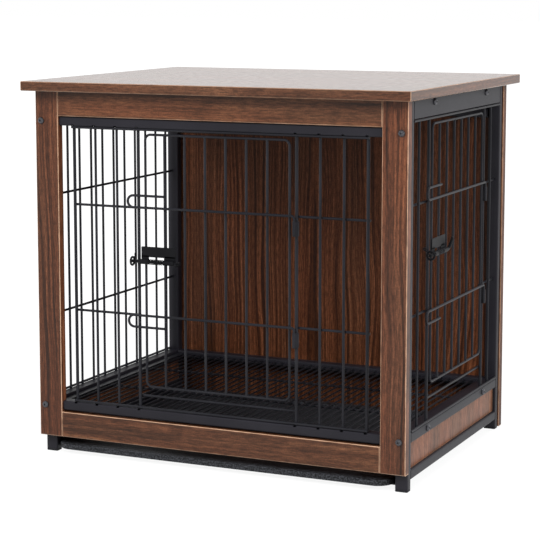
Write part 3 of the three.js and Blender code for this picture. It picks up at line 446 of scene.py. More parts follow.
def flatStrip(bm, low, high, axis):
    # a solid bar between two corners, with softened edges
    spans = [(low[i] + high[i]) / 2 for i in range(3)]
    sizes = [abs(high[i] - low[i]) for i in range(3)]
    a, b, c = {"X": (1, 2, 0), "Y": (0, 2, 1), "Z": (0, 1, 2)}[axis]
    start, end = sorted((low[c], high[c]))
    loft(bm, (sizes[a], sizes[b]), steelFrame["flatCorner"], blockRings(start, end, steelFrame["flatSoft"]),
         alongAxis(axis, (spans[a], spans[b])), steps=2)


def finishSteel(bm, name, replaced):
    finishPiece(bm, name, frameSteel, "root", [replaced])


def makeInfillBoards():
    # each board reaches down to the bottom rail
    for side in ("left", "right"):
        name = f"{side}_infill_board"
        low, high = [(corner - place(0, 0, 0)) * 1000 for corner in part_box(name)]
        low.z -= boards[name]["drop"] * 1000
        bm = bmesh.new()
        flatStrip(bm, low, high, "Y")
        finish = nodes[name].material_slots[0].material
        finishPiece(bm, f"{side}_infill_wood", finish, "root", [name])


def makePosts():
    for side, x in steelFrame["sideMiddles"].items():
        for end, y in steelFrame["postMiddles"].items():
            bm = bmesh.new()
            loft(bm, steelFrame["post"], steelFrame["corner"], tubeRings(steelFrame["footTop"], steelFrame["boardTop"]),
                 alongAxis("Z", (x, y)), hollow=True)
            finishSteel(bm, f"{end}_{side}_post_tube", f"{end}_{side}_post")


def makeSideRails():
    front, back = table["railFront"], table["railBack"]
    width, ledge, runner = [steelFrame[key] for key in ("railWidth", "ledge", "runner")]
    # strips on a rail: how far inward they reach, their levels and their rear end
    under = runner["levels"][0]
    strips = {
        "top": [],
        "lower": [(ledge["reach"], ledge["levels"], ledge["back"])],
        "bottom": [((runner["reach"][0], runner["web"]), (under, runner["webTop"]), back),
                   (runner["reach"], runner["levels"], back)],
    }
    for side, x in steelFrame["sideMiddles"].items():
        inward = 1 if side == "left" else -1
        inner = x + inward * width / 2
        for rail, (low, high) in steelFrame["rails"].items():
            bm = bmesh.new()
            loft(bm, (width, high - low), steelFrame["corner"], tubeRings(front, back),
                 alongAxis("Y", (x, (low + high) / 2)), hollow=True)
            for (near, far), (bottom, top), end in strips[rail]:
                flatStrip(bm, (inner + inward * near, front, bottom), (inner + inward * far, end, top), "Y")
            finishSteel(bm, f"{side}_{rail}_rail_tube", f"{side}_{rail}_rail")


def uprightPlaces():
    # the front panel's uprights, a third of a bay apart
    w = frontWires
    bays = ((w["first"], w["jamb"]), (w["hinge"], w["last"]))
    return [start + k * (end - start) / 3 for start, end in bays for k in range(4)]


def makeBar(bm, spot, middle):
    loft(bm, steelFrame["bar"], steelFrame["corner"], tubeRings(*spot["ends"]),
         alongAxis("X", (spot["middle"], middle)), hollow=True)


def makeBars():
    lug, notch = steelFrame["lug"], steelFrame["notch"]
    left, right = steelFrame["backBar"]["ends"]
    for bar, (low, high) in steelFrame["bars"].items():
        middle = (low + high) / 2
        bm = bmesh.new()
        makeBar(bm, steelFrame["backBar"], middle)
        finishSteel(bm, f"back_{bar}_bar_tube", f"back_{bar}_bar")
        # the front bar stands between the stiles, with a lug behind each of them
        bm = bmesh.new()
        makeBar(bm, steelFrame["frontBar"], middle)
        outer, inner = lug["depths"]
        for start in (left, right - lug["length"]):
            flatStrip(bm, (start, outer, low + lug["inset"]), (start + lug["length"], inner, high - lug["inset"]), "X")
        softenShading(bm)
        piece = newPiece(f"front_{bar}_bar_tube", bm)
        piece.data.materials.append(frameSteel)
        # small notches take the ends of the upright wires
        cutters = bmesh.new()
        edge, out = (low, -1) if bar == "top" else (high, 1)
        levels = sorted((edge + out * notch["overrun"], edge - out * notch["depth"]))
        for x in uprightPlaces():
            loft(cutters, (notch["width"], notch["length"]), notch["corner"], [(0, level) for level in levels],
                 alongAxis("Z", (x, notch["middle"])), steps=2)
        bmesh.ops.recalc_face_normals(cutters, faces=cutters.faces)
        cutter = newPiece("notchCutter", cutters)
        notching = piece.modifiers.new("notches", "BOOLEAN")
        notching.operation = "DIFFERENCE"
        notching.solver = "EXACT"
        notching.use_self = True
        notching.object = cutter
        toPlainMesh(piece)
        bpy.data.objects.remove(cutter)
        handOver(piece, "root", [f"front_{bar}_bar"])


makeInfillBoards()
makePosts()
makeSideRails()
makeBars()
print("steel frame ready")

# foot caps: a sole, a flange under the post and a plug inside it
footCap = {"sole": [(0.8, 0), (0.2, 0.25), (0, 0.9)], "soft": 0.2, "flange": 3, "plugTop": 15, "corner": 2.2,
           "plugInset": 1.5}


def makeFootCaps():
    flange, soft, inset = [footCap[key] for key in ("flange", "soft", "plugInset")]
    rings = footCap["sole"] + [(0, flange - soft), (soft, flange), (inset, flange), (inset, footCap["plugTop"])]
    for side, x in steelFrame["sideMiddles"].items():
        for end, y in steelFrame["postMiddles"].items():
            bm = bmesh.new()
            loft(bm, steelFrame["post"], footCap["corner"], rings, alongAxis("Z", (x, y)))
            finishPiece(bm, f"{end}_{side}_foot", footPlastic, "root", [f"{end}_{side}_foot_cap"])


# tray: a floor inside a raised hollow rim
tray = {"left": 23.4, "width": 573.6, "front": 4.5, "length": 450, "low": 8, "top": 17,
        "rim": 22, "wall": 2.2, "corner": 26, "lip": 1.6, "soft": 0.5,
        "fillet": ((0, 1.2), (0.4, 0.35), (1.2, 0))}


def makeTray():
    low, top, rim, wall, lip, soft = [tray[key] for key in ("low", "top", "rim", "wall", "lip", "soft")]
    turns = (0, 0.5, 1.0, pi / 2)
    rings = [(rim - wall, low), (rim - wall, top - wall), (wall, top - wall), (wall, low), (soft, low), (0, low + soft)]
    rings += [(lip * (1 - cos(a)), top - lip + lip * sin(a)) for a in turns]
    rings += [(rim - lip + lip * sin(a), top - lip + lip * cos(a)) for a in turns]
    rings += [(rim + out, low + wall + up) for out, up in tray["fillet"]]
    bm = bmesh.new()
    loft(bm, (tray["width"], tray["length"]), tray["corner"], rings,
         alongAxis("Z", (tray["left"] + tray["width"] / 2, tray["front"] + tray["length"] / 2)), steps=10)
    finishPiece(bm, "slide_out_tray", trayPlastic, "tray", ["tray"], sharpFrom=40)


makeFootCaps()
makeTray()
print("feet and tray ready")


# Geometry Nodes trees for the wire work
def newTree(name, sockets):
    tree = bpy.data.node_groups.new(name, "GeometryNodeTree")
    tree.interface.new_socket("Geometry", in_out="INPUT", socket_type="NodeSocketGeometry")
    tree.interface.new_socket("Geometry", in_out="OUTPUT", socket_type="NodeSocketGeometry")
    for socketName, kind in sockets.items():
        tree.interface.new_socket(socketName, in_out="INPUT", socket_type="NodeSocket" + kind)
    return tree, addNode(tree, "NodeGroupInput").outputs


def closeTree(tree, geometry, finish):
    # smooth except at real corners, plain mesh, one finish
    angle = addNode(tree, "GeometryNodeInputMeshEdgeAngle").outputs["Unsigned Angle"]
    sharp = addNode(tree, "FunctionNodeCompare", {"operation": "GREATER_THAN"}, {0: angle, 1: radians(40)}).outputs[0]
    realized = addNode(tree, "GeometryNodeRealizeInstances", None, {"Geometry": geometry}).outputs[0]
    smooth = addNode(tree, "GeometryNodeSetShadeSmooth", None, {"Geometry": realized}).outputs[0]
    creased = addNode(tree, "GeometryNodeSetShadeSmooth", {"domain": "EDGE"},
                      {"Geometry": smooth, "Selection": sharp, "Shade Smooth": False}).outputs[0]
    return addNode(tree, "GeometryNodeSetMaterial", None, {"Geometry": creased, "Material": finish}).outputs[0]


def applyTree(piece, tree, values):
    modifier = piece.modifiers.new(tree.name, "NODES")
    modifier.node_group = tree
    for item in tree.interface.items_tree:
        if item.in_out == "INPUT" and item.name in values:
            modifier[item.identifier] = values[item.name]


def buildWireRow():
    # straight wires side by side, added to what is already there
    tree, given = newTree("wireRow", {"Count": "Int", "Start": "Vector", "Step": "Vector", "Wire": "Vector",
                                      "Diameter": "Float", "Sides": "Int", "Finish": "Material"})
    feet = addNode(tree, "GeometryNodeMeshLine", {"mode": "OFFSET"},
                   {"Count": given["Count"], "Start Location": given["Start"], "Offset": given["Step"]}).outputs[0]
    line = addNode(tree, "GeometryNodeCurvePrimitiveLine", None, {"End": given["Wire"]}).outputs[0]
    radius = addNode(tree, "ShaderNodeMath", {"operation": "MULTIPLY"}, {0: given["Diameter"], 1: 0.5}).outputs[0]
    section = addNode(tree, "GeometryNodeCurvePrimitiveCircle", None,
                      {"Resolution": given["Sides"], "Radius": radius}).outputs[0]
    wire = addNode(tree, "GeometryNodeCurveToMesh", None,
                   {"Curve": line, "Profile Curve": section, "Fill Caps": True}).outputs[0]
    wires = addNode(tree, "GeometryNodeInstanceOnPoints", None, {"Points": feet, "Instance": wire}).outputs[0]
    row = closeTree(tree, wires, given["Finish"])
    joined = addNode(tree, "GeometryNodeJoinGeometry", None, {0: given["Geometry"]})
    tree.links.new(row, joined.inputs[0])
    addNode(tree, "NodeGroupOutput", None, {0: joined.outputs[0]})
    return tree


def buildBentWire():
    # wires along the edges of the mesh, bent at its corners by each point's own radius
    tree, given = newTree("bentWire", {"Diameter": "Float", "Sides": "Int", "BendSteps": "Int", "Finish": "Material"})
    path = addNode(tree, "GeometryNodeMeshToCurve", None, {0: given["Geometry"]}).outputs[0]
    bend = addNode(tree, "GeometryNodeInputNamedAttribute", {"data_type": "FLOAT"}, {"Name": "bend"}).outputs[0]
    swell = addNode(tree, "GeometryNodeInputNamedAttribute", {"data_type": "FLOAT"}, {"Name": "swell"}).outputs[0]
    rounded = addNode(tree, "GeometryNodeFilletCurve", {"mode": "POLY"},
                      {"Curve": path, "Count": given["BendSteps"], "Radius": bend, "Limit Radius": True}).outputs[0]
    half = addNode(tree, "ShaderNodeMath", {"operation": "MULTIPLY"}, {0: given["Diameter"], 1: 0.5}).outputs[0]
    thick = addNode(tree, "ShaderNodeMath", {"operation": "MULTIPLY"}, {0: half, 1: swell}).outputs[0]
    section = addNode(tree, "GeometryNodeCurvePrimitiveCircle", None,
                      {"Resolution": given["Sides"], "Radius": 1}).outputs[0]
    wire = addNode(tree, "GeometryNodeCurveToMesh", None,
                   {"Curve": rounded, "Profile Curve": section, "Scale": thick, "Fill Caps": True}).outputs[0]
    addNode(tree, "NodeGroupOutput", None, {0: closeTree(tree, wire, given["Finish"])})
    return tree


def buildCoil():
    # a spring: a spiral along z, laid along its own axis
    tree, given = newTree("coilSpring", {"Turns": "Float", "Radius": "Float", "Length": "Float", "Diameter": "Float",
                                         "Position": "Vector", "Turn": "Vector", "Finish": "Material"})
    spiral = addNode(tree, "GeometryNodeCurveSpiral", None,
                     {"Resolution": 24, "Rotations": given["Turns"], "Start Radius": given["Radius"],
                      "End Radius": given["Radius"], "Height": given["Length"]}).outputs[0]
    half = addNode(tree, "ShaderNodeMath", {"operation": "MULTIPLY"}, {0: given["Diameter"], 1: 0.5}).outputs[0]
    section = addNode(tree, "GeometryNodeCurvePrimitiveCircle", None, {"Resolution": 10, "Radius": half}).outputs[0]
    wire = addNode(tree, "GeometryNodeCurveToMesh", None,
                   {"Curve": spiral, "Profile Curve": section, "Fill Caps": True}).outputs[0]
    placed = addNode(tree, "GeometryNodeTransform", None,
                     {"Geometry": wire, "Translation": given["Position"], "Rotation": given["Turn"]}).outputs[0]
    addNode(tree, "NodeGroupOutput", None, {0: closeTree(tree, placed, given["Finish"])})
    return tree


def buildScrewRow():
    # one screw on every point, its head facing the point's own way
    tree, given = newTree("screwRow", {"Screw": "Object", "Finish": "Material"})
    facing = addNode(tree, "GeometryNodeInputNamedAttribute", {"data_type": "FLOAT_VECTOR"},
                     {"Name": "facing"}).outputs[0]
    turned = addNode(tree, "FunctionNodeAlignRotationToVector", {"axis": "Z"}, {"Vector": facing}).outputs[0]
    screw = addNode(tree, "GeometryNodeObjectInfo", None, {"Object": given["Screw"]}).outputs["Geometry"]
    screws = addNode(tree, "GeometryNodeInstanceOnPoints", None,
                     {"Points": given["Geometry"], "Instance": screw, "Rotation": turned}).outputs[0]
    realized = addNode(tree, "GeometryNodeRealizeInstances", None, {"Geometry": screws}).outputs[0]
    finished = addNode(tree, "GeometryNodeSetMaterial", None,
                       {"Geometry": realized, "Material": given["Finish"]}).outputs[0]
    addNode(tree, "NodeGroupOutput", None, {0: finished})
    return tree


wireRow = buildWireRow()
bentWire = buildBentWire()
coilSpring = buildCoil()
screwRow = buildScrewRow()

wireWork = {"sides": 12, "bendSteps": 8}


def pathPiece(name, paths):
    # paths: lists of (point, bend radius, thickness share); a closed one ends on its first point
    piece = newPiece(name)
    points, edges, bends, swells = [], [], [], []
    for path in paths:
        closed = (path[0][0] - path[-1][0]).length < 1e-7
        kept = path[:-1] if closed else path
        first = len(points)
        points += [point for point, bend, swell in kept]
        bends += [bend / 1000 for point, bend, swell in kept]
        swells += [swell for point, bend, swell in kept]
        edges += [(first + i, first + i + 1) for i in range(len(kept) - 1)]
        if closed:
            edges.append((len(points) - 1, first))
    piece.data.from_pydata(points, edges, [])
    for label, values in (("bend", bends), ("swell", swells)):
        piece.data.attributes.new(label, "FLOAT", "POINT").data.foreach_set("value", values)
    return piece


def addBentWires(piece, diameter, finish, sides=wireWork["sides"]):
    applyTree(piece, bentWire, {"Diameter": diameter / 1000, "Sides": sides,
                                "BendSteps": wireWork["bendSteps"], "Finish": finish})


def addRow(piece, wall, count, start, step, run, diameter, sides=wireWork["sides"]):
    applyTree(piece, wireRow, {
        "Count": count, "Start": wallPoint(wall, *start), "Step": wallTurn(wall, *step), "Wire": wallTurn(wall, *run),
        "Diameter": diameter / 1000, "Sides": sides, "Finish": wireSteel})


# wire panels: the uprights' places along each wall, and levels
rightWires = {"first": 65, "jamb": 108.2, "hinge": 375.9, "last": 412, "low": 87.8, "high": 554.7,
              "threshold": 121.5, "mids": (259, 426.5), "top": 552.7, "bottom": 89.8}
leftWires = {"first": 17.4, "pitch": 38.1, "count": 11, "low": 87.8, "high": 554.7,
             "mids": (223, 416), "top": 552.7, "bottom": 89.8}
layers = {"outer": -3.8, "inner": 4.3, "behind": 3.8}     # depths of the long wires from the uprights


def makeFrontPanel():
    w, stout, wire = frontWires, table["stout"], table["wire"]
    piece = newPiece("front_panel_wires")
    up = (0, 0, w["high"] - w["low"])
    for start, end in ((w["first"], w["jamb"]), (w["hinge"], w["last"])):
        step = (end - start) / 3
        addRow(piece, "front", 2, (start, 0, w["low"]), (3 * step, 0, 0), up, stout)
        addRow(piece, "front", 2, (start + step, 0, w["low"]), (step, 0, 0), up, wire)
    left, right = w["first"] - stout / 2, w["last"] + stout / 2
    addRow(piece, "front", 2, (left, layers["outer"], w["bottom"]), (0, 0, w["top"] - w["bottom"]),
           (right - left, 0, 0), wire)
    sill = w["jamb"] - w["overlap"]
    addRow(piece, "front", 1, (sill, layers["inner"], w["threshold"]), (0, 0, 0), (w["hinge"] - sill, 0, 0), wire)
    lower, upper = w["mids"]
    for start, end in ((left, w["jamb"]), (w["hinge"], right)):
        addRow(piece, "front", 2, (start, layers["inner"], lower), (0, 0, upper - lower), (end - start, 0, 0), wire)
    toPlainMesh(piece)
    handOver(piece, "root", ["front_wire_panel"])


def makeRightPanel():
    w, stout, wire = rightWires, table["stout"], table["wire"]
    piece = newPiece("right_panel_wires")
    up, doorway = (0, 0, w["high"] - w["low"]), (w["hinge"] - w["jamb"], 0, 0)
    addRow(piece, "right", 2, (w["first"], 0, w["low"]), (w["last"] - w["first"], 0, 0), up, wire)
    addRow(piece, "right", 2, (w["jamb"], 0, w["low"]), doorway, up, stout)
    front, back = table["railFront"], table["railBack"]
    addRow(piece, "right", 2, (front, layers["outer"], w["bottom"]), (0, 0, w["top"] - w["bottom"]),
           (back - front, 0, 0), wire)
    addRow(piece, "right", 1, (w["jamb"], layers["inner"], w["threshold"]), (0, 0, 0), doorway, wire)
    lower, upper = w["mids"]
    for start, end in ((front, w["jamb"]), (w["hinge"], back)):
        addRow(piece, "right", 2, (start, layers["inner"], lower), (0, 0, upper - lower), (end - start, 0, 0), wire)
    toPlainMesh(piece)
    handOver(piece, "root", ["right_wire_panel"])


def makeLeftPanel():
    w, wire = leftWires, table["wire"]
    piece = newPiece("left_panel_wires")
    addRow(piece, "left", w["count"], (w["first"], 0, w["low"]), (w["pitch"], 0, 0), (0, 0, w["high"] - w["low"]), wire)
    length = table["railBack"] - table["railFront"]
    addRow(piece, "left", 2, (0, layers["outer"], w["bottom"]), (0, 0, w["top"] - w["bottom"]), (length, 0, 0), wire)
    lower, upper = w["mids"]
    addRow(piece, "left", 2, (0, layers["behind"], lower), (0, 0, upper - lower), (length, 0, 0), wire)
    toPlainMesh(piece)
    handOver(piece, "root", ["left_wire_panel"])


makeFrontPanel()
makeRightPanel()
makeLeftPanel()
print("wire panels ready")

# floor grid: fine wires over four cross wires, with a flat strip at each side
floorGrid = {"left": 22.3, "right": 603.7, "front": 24.3, "back": 441.4, "crossLevel": 78.8, "crossWire": 4,
             "longLevel": 82, "longWire": 2.8, "pitch": 13.5, "gaps": 40, "rows": (30, 171, 318, 438),
             "edgeWidth": 12, "edgeLow": 80.6, "edgeTop": 82.8}


def makeFloorGrid():
    g = floorGrid
    bm = bmesh.new()
    for start, end in ((g["left"], g["left"] + g["edgeWidth"]), (g["right"] - g["edgeWidth"], g["right"])):
        flatStrip(bm, (start, table["railFront"], g["edgeLow"]), (end, g["back"], g["edgeTop"]), "Y")
    softenShading(bm)
    piece = newPiece("floor_grid_wires", bm)
    piece.data.materials.append(wireSteel)
    first = (table["width"] - g["gaps"] * g["pitch"]) / 2
    depth = -table["frontWallDepth"]
    addRow(piece, "front", g["gaps"] + 1, (first, depth + g["front"], g["longLevel"]), (g["pitch"], 0, 0),
           (0, g["back"] - g["front"], 0), g["longWire"], sides=8)
    for y in g["rows"]:
        addRow(piece, "front", 1, (g["left"], depth + y, g["crossLevel"]), (0, 0, 0), (g["right"] - g["left"], 0, 0),
               g["crossWire"])
    toPlainMesh(piece)
    handOver(piece, "root", ["floor_grid"])


makeFloorGrid()
print("floor grid ready")

# doors: one design, on two walls
doors = {
    "front": {"start": 191, "level": 123.5, "handleTurn": 90},
    "right": {"start": 121, "level": 146.5, "handleTurn": 20},
}
doorWires = {"width": 244, "height": 397, "corner": 9, "first": 33.3, "pitch": 34.75, "count": 6,
             "mids": ((283.5, 18.5), (113.5, -18.5)), "hook": 29.5, "hookSteps": 12,
             "leg": 253, "legDrop": 30.5, "legBend": 5, "outer": -4.8, "layer": -1.0, "post": 254.9,
             "clipHeight": 22.5, "clipPost": 3.8, "clipLeg": 2.9, "clipSteps": 24, "clipShrink": 0.06, "clipRim": 0.4}


def makeDoor(side, door):
    d = doorWires
    start, base = door["start"], door["level"]

    def at(x, depth, z):
        return wallPoint(side, start + x, depth, base + z)

    border = [(at(x, d["layer"], z), d["corner"], 1) for x, z in
              ((0, 0), (d["width"], 0), (d["width"], d["height"]), (0, d["height"]), (0, 0))]
    paths = [border]
    turns = [pi * (0.5 + k / d["hookSteps"]) for k in range(d["hookSteps"] + 1)]
    for level, rise in d["mids"]:
        # the free end is turned back in a half circle, the other end down along the hinge post
        radius, reach = rise / 2, abs(rise) / 2
        hook = [(at(reach * (1 + cos(a)) - d["hook"], d["outer"], level + radius * (1 + sin(a))), 0, 1) for a in turns]
        paths.append([(at(d["first"], d["outer"], level + rise), 0, 1)] + hook + [
            (at(d["leg"], d["outer"], level), d["legBend"], 1),
            (at(d["leg"], d["outer"], level - d["legDrop"]), 0, 1),
        ])
    piece = pathPiece(f"{side}_door_wires", paths)
    addBentWires(piece, table["wire"], wireSteel)
    addRow(piece, side, d["count"], (start + d["first"], d["layer"], base), (d["pitch"], 0, 0), (0, 0, d["height"]),
           table["wire"])
    toPlainMesh(piece)
    handOver(piece, f"{side}_door", [f"{side}_door"])
    makeClips(side, at)


def makeClips(side, at):
    # each clip is a strap bent round the hinge post and the door wire's leg: the hull of two circles
    d = doorWires
    flat = bmesh.new()
    for x, depth, radius in ((d["post"], 0, d["clipPost"]), (d["leg"], d["outer"], d["clipLeg"])):
        for k in range(d["clipSteps"]):
            a = 2 * pi * k / d["clipSteps"]
            flat.verts.new((x + radius * cos(a), depth + radius * sin(a), 0))
    hull = bmesh.ops.convex_hull(flat, input=flat.verts)
    spare = [v for v in hull["geom_interior"] if isinstance(v, bmesh.types.BMVert)]
    bmesh.ops.delete(flat, geom=spare, context="VERTS")
    middle = Vector((d["leg"] + 1, d["outer"] / 2))
    around = sorted([Vector(v.co[:2]) for v in flat.verts], key=lambda p: (p - middle).angle_signed(Vector((1, 0))))
    flat.free()
    # the strap's two rims are drawn in a little
    shrink, rim = d["clipShrink"], d["clipRim"]
    bm = bmesh.new()
    for level, rise in d["mids"]:
        low = level - d["legDrop"]
        high = low + d["clipHeight"]
        rings = []
        for share, z in ((shrink, low), (0, low + rim), (0, high - rim), (shrink, high)):
            rings.append([bm.verts.new(at(*(middle + (p - middle) * (1 - share)), z)) for p in around])
        for lower, upper in zip(rings, rings[1:]):
            for i in range(len(around)):
                bm.faces.new([lower[i], lower[(i + 1) % len(around)], upper[(i + 1) % len(around)], upper[i]])
        bm.faces.new(rings[0])
        bm.faces.new(rings[-1])
    finishPiece(bm, f"{side}_door_hinge_clips", wireSteel, f"{side}_door")


for side, door in doors.items():
    makeDoor(side, door)
print("doors ready")

# latches, measured from their door's start, level and wires
latch = {
    "plateStart": -6.5, "plateLength": 60.6, "plateLevel": 206.5, "plateHeight": 16.3, "plateFace": -3.3,
    "plateThickness": 1.5, "plateCorner": 1.4, "soft": 0.25,
    "knuckles": ((-6.5, 13), (33.5, 19)), "knuckleInside": 2.9, "knuckleWall": 1,
    "tab": {"rise": 1.5, "overlap": 2, "corner": 0.3, "soft": 0.2},
    "boltLevel": 199.5, "boltDepth": -7.8, "boltDiameter": 5, "boltSides": 20, "tip": -24.5, "end": 63.1,
    "handle": 18, "handleBend": 4, "dome": ((0, 0.35), (0.15, 0.62), (0.45, 0.84), (1.25, 1)),
    "washerStart": 6.8, "washer": (1.8, 8), "washerPlay": 0.3, "springStart": 8.9, "springEnd": 33.2,
    "springDiameter": 8.6, "springWire": 1.2, "springTurns": 9, "boltTravel": 12,
    "keeper": -20.5, "keeperRadius": 6.2, "keeperWire": 3.4, "keeperSteps": 28, "keeperFoot": (-15.3, -1.4),
    "eyeRadius": 1.9, "eyeWire": 2, "eyeRise": 9.3, "eyeSteps": 16, "tailStart": 4.4,
}


def ringTube(bm, at, start, length, inner, outer, soft, steps=28):
    # a short tube along the wall: a ring section turned round the bolt's axis
    end = start + length
    section = [(start, inner), (start, outer - soft), (start + soft, outer), (end - soft, outer), (end, outer - soft),
               (end, inner)]
    rings = []
    for k in range(steps):
        a = 2 * pi * k / steps
        rings.append([bm.verts.new(at(x, latch["boltDepth"] + r * cos(a), latch["boltLevel"] + r * sin(a)))
                      for x, r in section])
    for here, there in zip(rings, rings[1:] + rings[:1]):
        for i in range(len(section)):
            j = (i + 1) % len(section)
            bm.faces.new([here[i], here[j], there[j], there[i]])


def makeHasp(side, at):
    # plate with two knuckles rolled from its lower edge
    m, tab = latch, latch["tab"]
    bm = bmesh.new()
    outer = m["plateFace"] - m["plateThickness"]
    middleX, middleZ = m["plateStart"] + m["plateLength"] / 2, m["plateLevel"] + m["plateHeight"] / 2
    loft(bm, (m["plateLength"], m["plateHeight"]), m["plateCorner"], blockRings(outer, m["plateFace"], m["soft"]),
         lambda a, b, level: at(middleX + a, level, middleZ + b))
    tabMiddle = (m["plateLevel"] + m["boltLevel"]) / 2 + tab["rise"]
    tabHeight = m["plateLevel"] - m["boltLevel"] + tab["overlap"]
    for start, length in m["knuckles"]:
        ringTube(bm, at, start, length, m["knuckleInside"], m["knuckleInside"] + m["knuckleWall"], m["soft"])
        loft(bm, (length, tabHeight), tab["corner"], blockRings(outer, m["plateFace"], tab["soft"]),
             lambda a, b, level: at(start + length / 2 + a, level, tabMiddle + b), steps=2)
    finishPiece(bm, f"{side}_latch_hasp", latchSteel, f"{side}_door", [f"{side}_latch_plate"])


def makeBolt(side, at, lean):
    # a rod with rounded ends, bent into a handle
    m = latch
    reach = Vector((-sin(lean), cos(lean)))

    def onBolt(x, r):
        return at(x, m["boltDepth"] + reach.x * r, m["boltLevel"] + reach.y * r)

    top = m["handle"] + m["dome"][-1][0]
    path = [(onBolt(m["tip"] + step, 0), 0, share) for step, share in m["dome"]]
    path += [(onBolt(m["end"], 0), m["handleBend"], 1)]
    path += [(onBolt(m["end"], top - step), 0, share) for step, share in reversed(m["dome"])]
    piece = pathPiece(f"{side}_latch_rod", [path])
    addBentWires(piece, m["boltDiameter"], latchSteel, m["boltSides"])
    toPlainMesh(piece)
    handOver(piece, f"{side}_bolt", [f"{side}_latch_bolt"])
    # washer that the spring pushes
    bm = bmesh.new()
    thick, wide = m["washer"]
    ringTube(bm, at, m["washerStart"], thick, m["boltDiameter"] / 2 + m["washerPlay"], wide / 2, m["soft"])
    finishPiece(bm, f"{side}_washer_ring", latchSteel, f"{side}_bolt_carrier",
                [f"{side}_spring_washer"])


def makeSpring(side, at):
    # the spring that is squeezed as the bolt is drawn back, drawn here at one fixed length
    m = latch
    piece = newPiece(f"{side}_spring_coil")
    length = m["springEnd"] - m["springStart"]
    applyTree(piece, coilSpring, {
        "Turns": float(m["springTurns"]), "Radius": (m["springDiameter"] - m["springWire"]) / 2000,
        "Length": (length - m["springWire"]) / 1000, "Diameter": m["springWire"] / 1000,
        "Position": at(m["springStart"] + m["springWire"] / 2, m["boltDepth"], m["boltLevel"]),
        "Turn": (0, pi / 2, 0) if side == "front" else (-pi / 2, 0, 0), "Finish": springSteel})
    toPlainMesh(piece)
    handOver(piece, f"{side}_door", [f"{side}_latch_spring"])
    axis = wallTurn(side, 1, 0, 0).normalized()
    tuple(at(m["springEnd"], m["boltDepth"], m["boltLevel"]))
    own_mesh(piece)


def makeKeeper(side, at):
    # on the jamb: a ring for the bolt, its leg, and a small eye above
    m = latch
    thin = m["eyeWire"] / m["keeperWire"]

    def onKeeper(depth, up, share):
        return at(m["keeper"], depth, m["boltLevel"] + up), 0, share

    def around(depth, up, radius, share, count):
        turns = [2 * pi * k / count for k in range(count + 1)]
        return [onKeeper(depth + radius * cos(a), up + radius * sin(a), share) for a in turns]

    footX, footDepth = m["keeperFoot"]
    ring = around(m["boltDepth"], 0, m["keeperRadius"], 1, m["keeperSteps"])
    eye = around(m["eyeRadius"], m["eyeRise"], m["eyeRadius"], thin, m["eyeSteps"])
    leg = [onKeeper(m["boltDepth"] + m["keeperRadius"], 0, 1), (at(footX, footDepth, m["boltLevel"]), 0, 1)]
    tail = [onKeeper(m["boltDepth"] + m["tailStart"], m["tailStart"], thin),
            onKeeper(m["eyeRadius"], m["eyeRise"] - m["eyeRadius"], thin)]
    piece = pathPiece(f"{side}_keeper_ring", [ring, eye, leg, tail])
    addBentWires(piece, m["keeperWire"], latchSteel)
    toPlainMesh(piece)
    handOver(piece, "root", [f"{side}_latch_keeper"])


def makeLatch(side, door):
    def at(x, depth, z):
        return wallPoint(side, door["start"] + x, depth, door["level"] + z)

    makeHasp(side, at)
    makeBolt(side, at, radians(door["handleTurn"]))
    makeSpring(side, at)
    makeKeeper(side, at)


for side, door in doors.items():
    makeLatch(side, door)
print("latches ready")

# button head screws, through the boards and the side rails
screw = {"head": 5.25, "height": 3.2, "rim": 0.5, "dome": (0, 0.3, 0.6, 0.85, 1.1), "crown": 2.2, "steps": 24,
         "shank": 2.5, "toe": (0.4, 0.5), "boardBite": 20.7, "railBite": 5.7, "socket": 1.6, "socketDepth": 1.9}
screwPlaces = {
    "boards": {"inset": 10.5, "levels": {"upper": 537.5, "lower": 80}, "seats": {"front": -0.3, "back": 477.3}},
    "rails": {"rows": {"top": ((119, 371), 576.7), "lower": ((103.5, 376), 80)},
              "seats": {"left": 1.7, "right": 624.3}},
}


def screwShape(length):
    # a button head with a hexagon socket, drawn along z with its seat at 0
    bm = bmesh.new()
    head, height, rim, shank, steps = [screw[key] for key in ("head", "height", "rim", "shank", "steps")]
    toeInset, toeHeight = screw["toe"]
    profile = [(0.01, -length), (shank - toeInset, -length), (shank, -length + toeHeight), (shank, 0), (head, 0)]
    profile += [(head * cos(a) ** 0.8, rim + (height - rim) * sin(a)) for a in screw["dome"]]
    profile += [(screw["crown"], height)]
    turns = [2 * pi * k / steps for k in range(steps)]
    outlines = [([radius] * steps, z) for radius, z in profile]
    hexagon = [screw["socket"] / cos((a % (pi / 3)) - pi / 6) for a in turns]
    outlines += [(hexagon, height), (hexagon, height - screw["socketDepth"])]
    rings = []
    for radii, z in outlines:
        rings.append([bm.verts.new((r * cos(a) / 1000, r * sin(a) / 1000, z / 1000)) for r, a in zip(radii, turns)])
    for lower, upper in zip(rings, rings[1:]):
        for k in range(steps):
            bm.faces.new([lower[k], lower[(k + 1) % steps], upper[(k + 1) % steps], upper[k]])
    bm.faces.new(rings[-1])
    bm.faces.new(list(reversed(rings[0])))
    softenShading(bm)
    return newPiece("screwShape", bm)


def makeScrews(name, length, spots, replaced):
    shape = screwShape(length)
    piece = newPiece(name)
    piece.data.from_pydata([point for point, facing in spots], [], [])
    facings = [value for point, facing in spots for value in facing]
    piece.data.attributes.new("facing", "FLOAT_VECTOR", "POINT").data.foreach_set("vector", facings)
    applyTree(piece, screwRow, {"Screw": shape, "Finish": screwSteel})
    toPlainMesh(piece)
    bpy.data.objects.remove(shape)
    handOver(piece, "root", replaced)


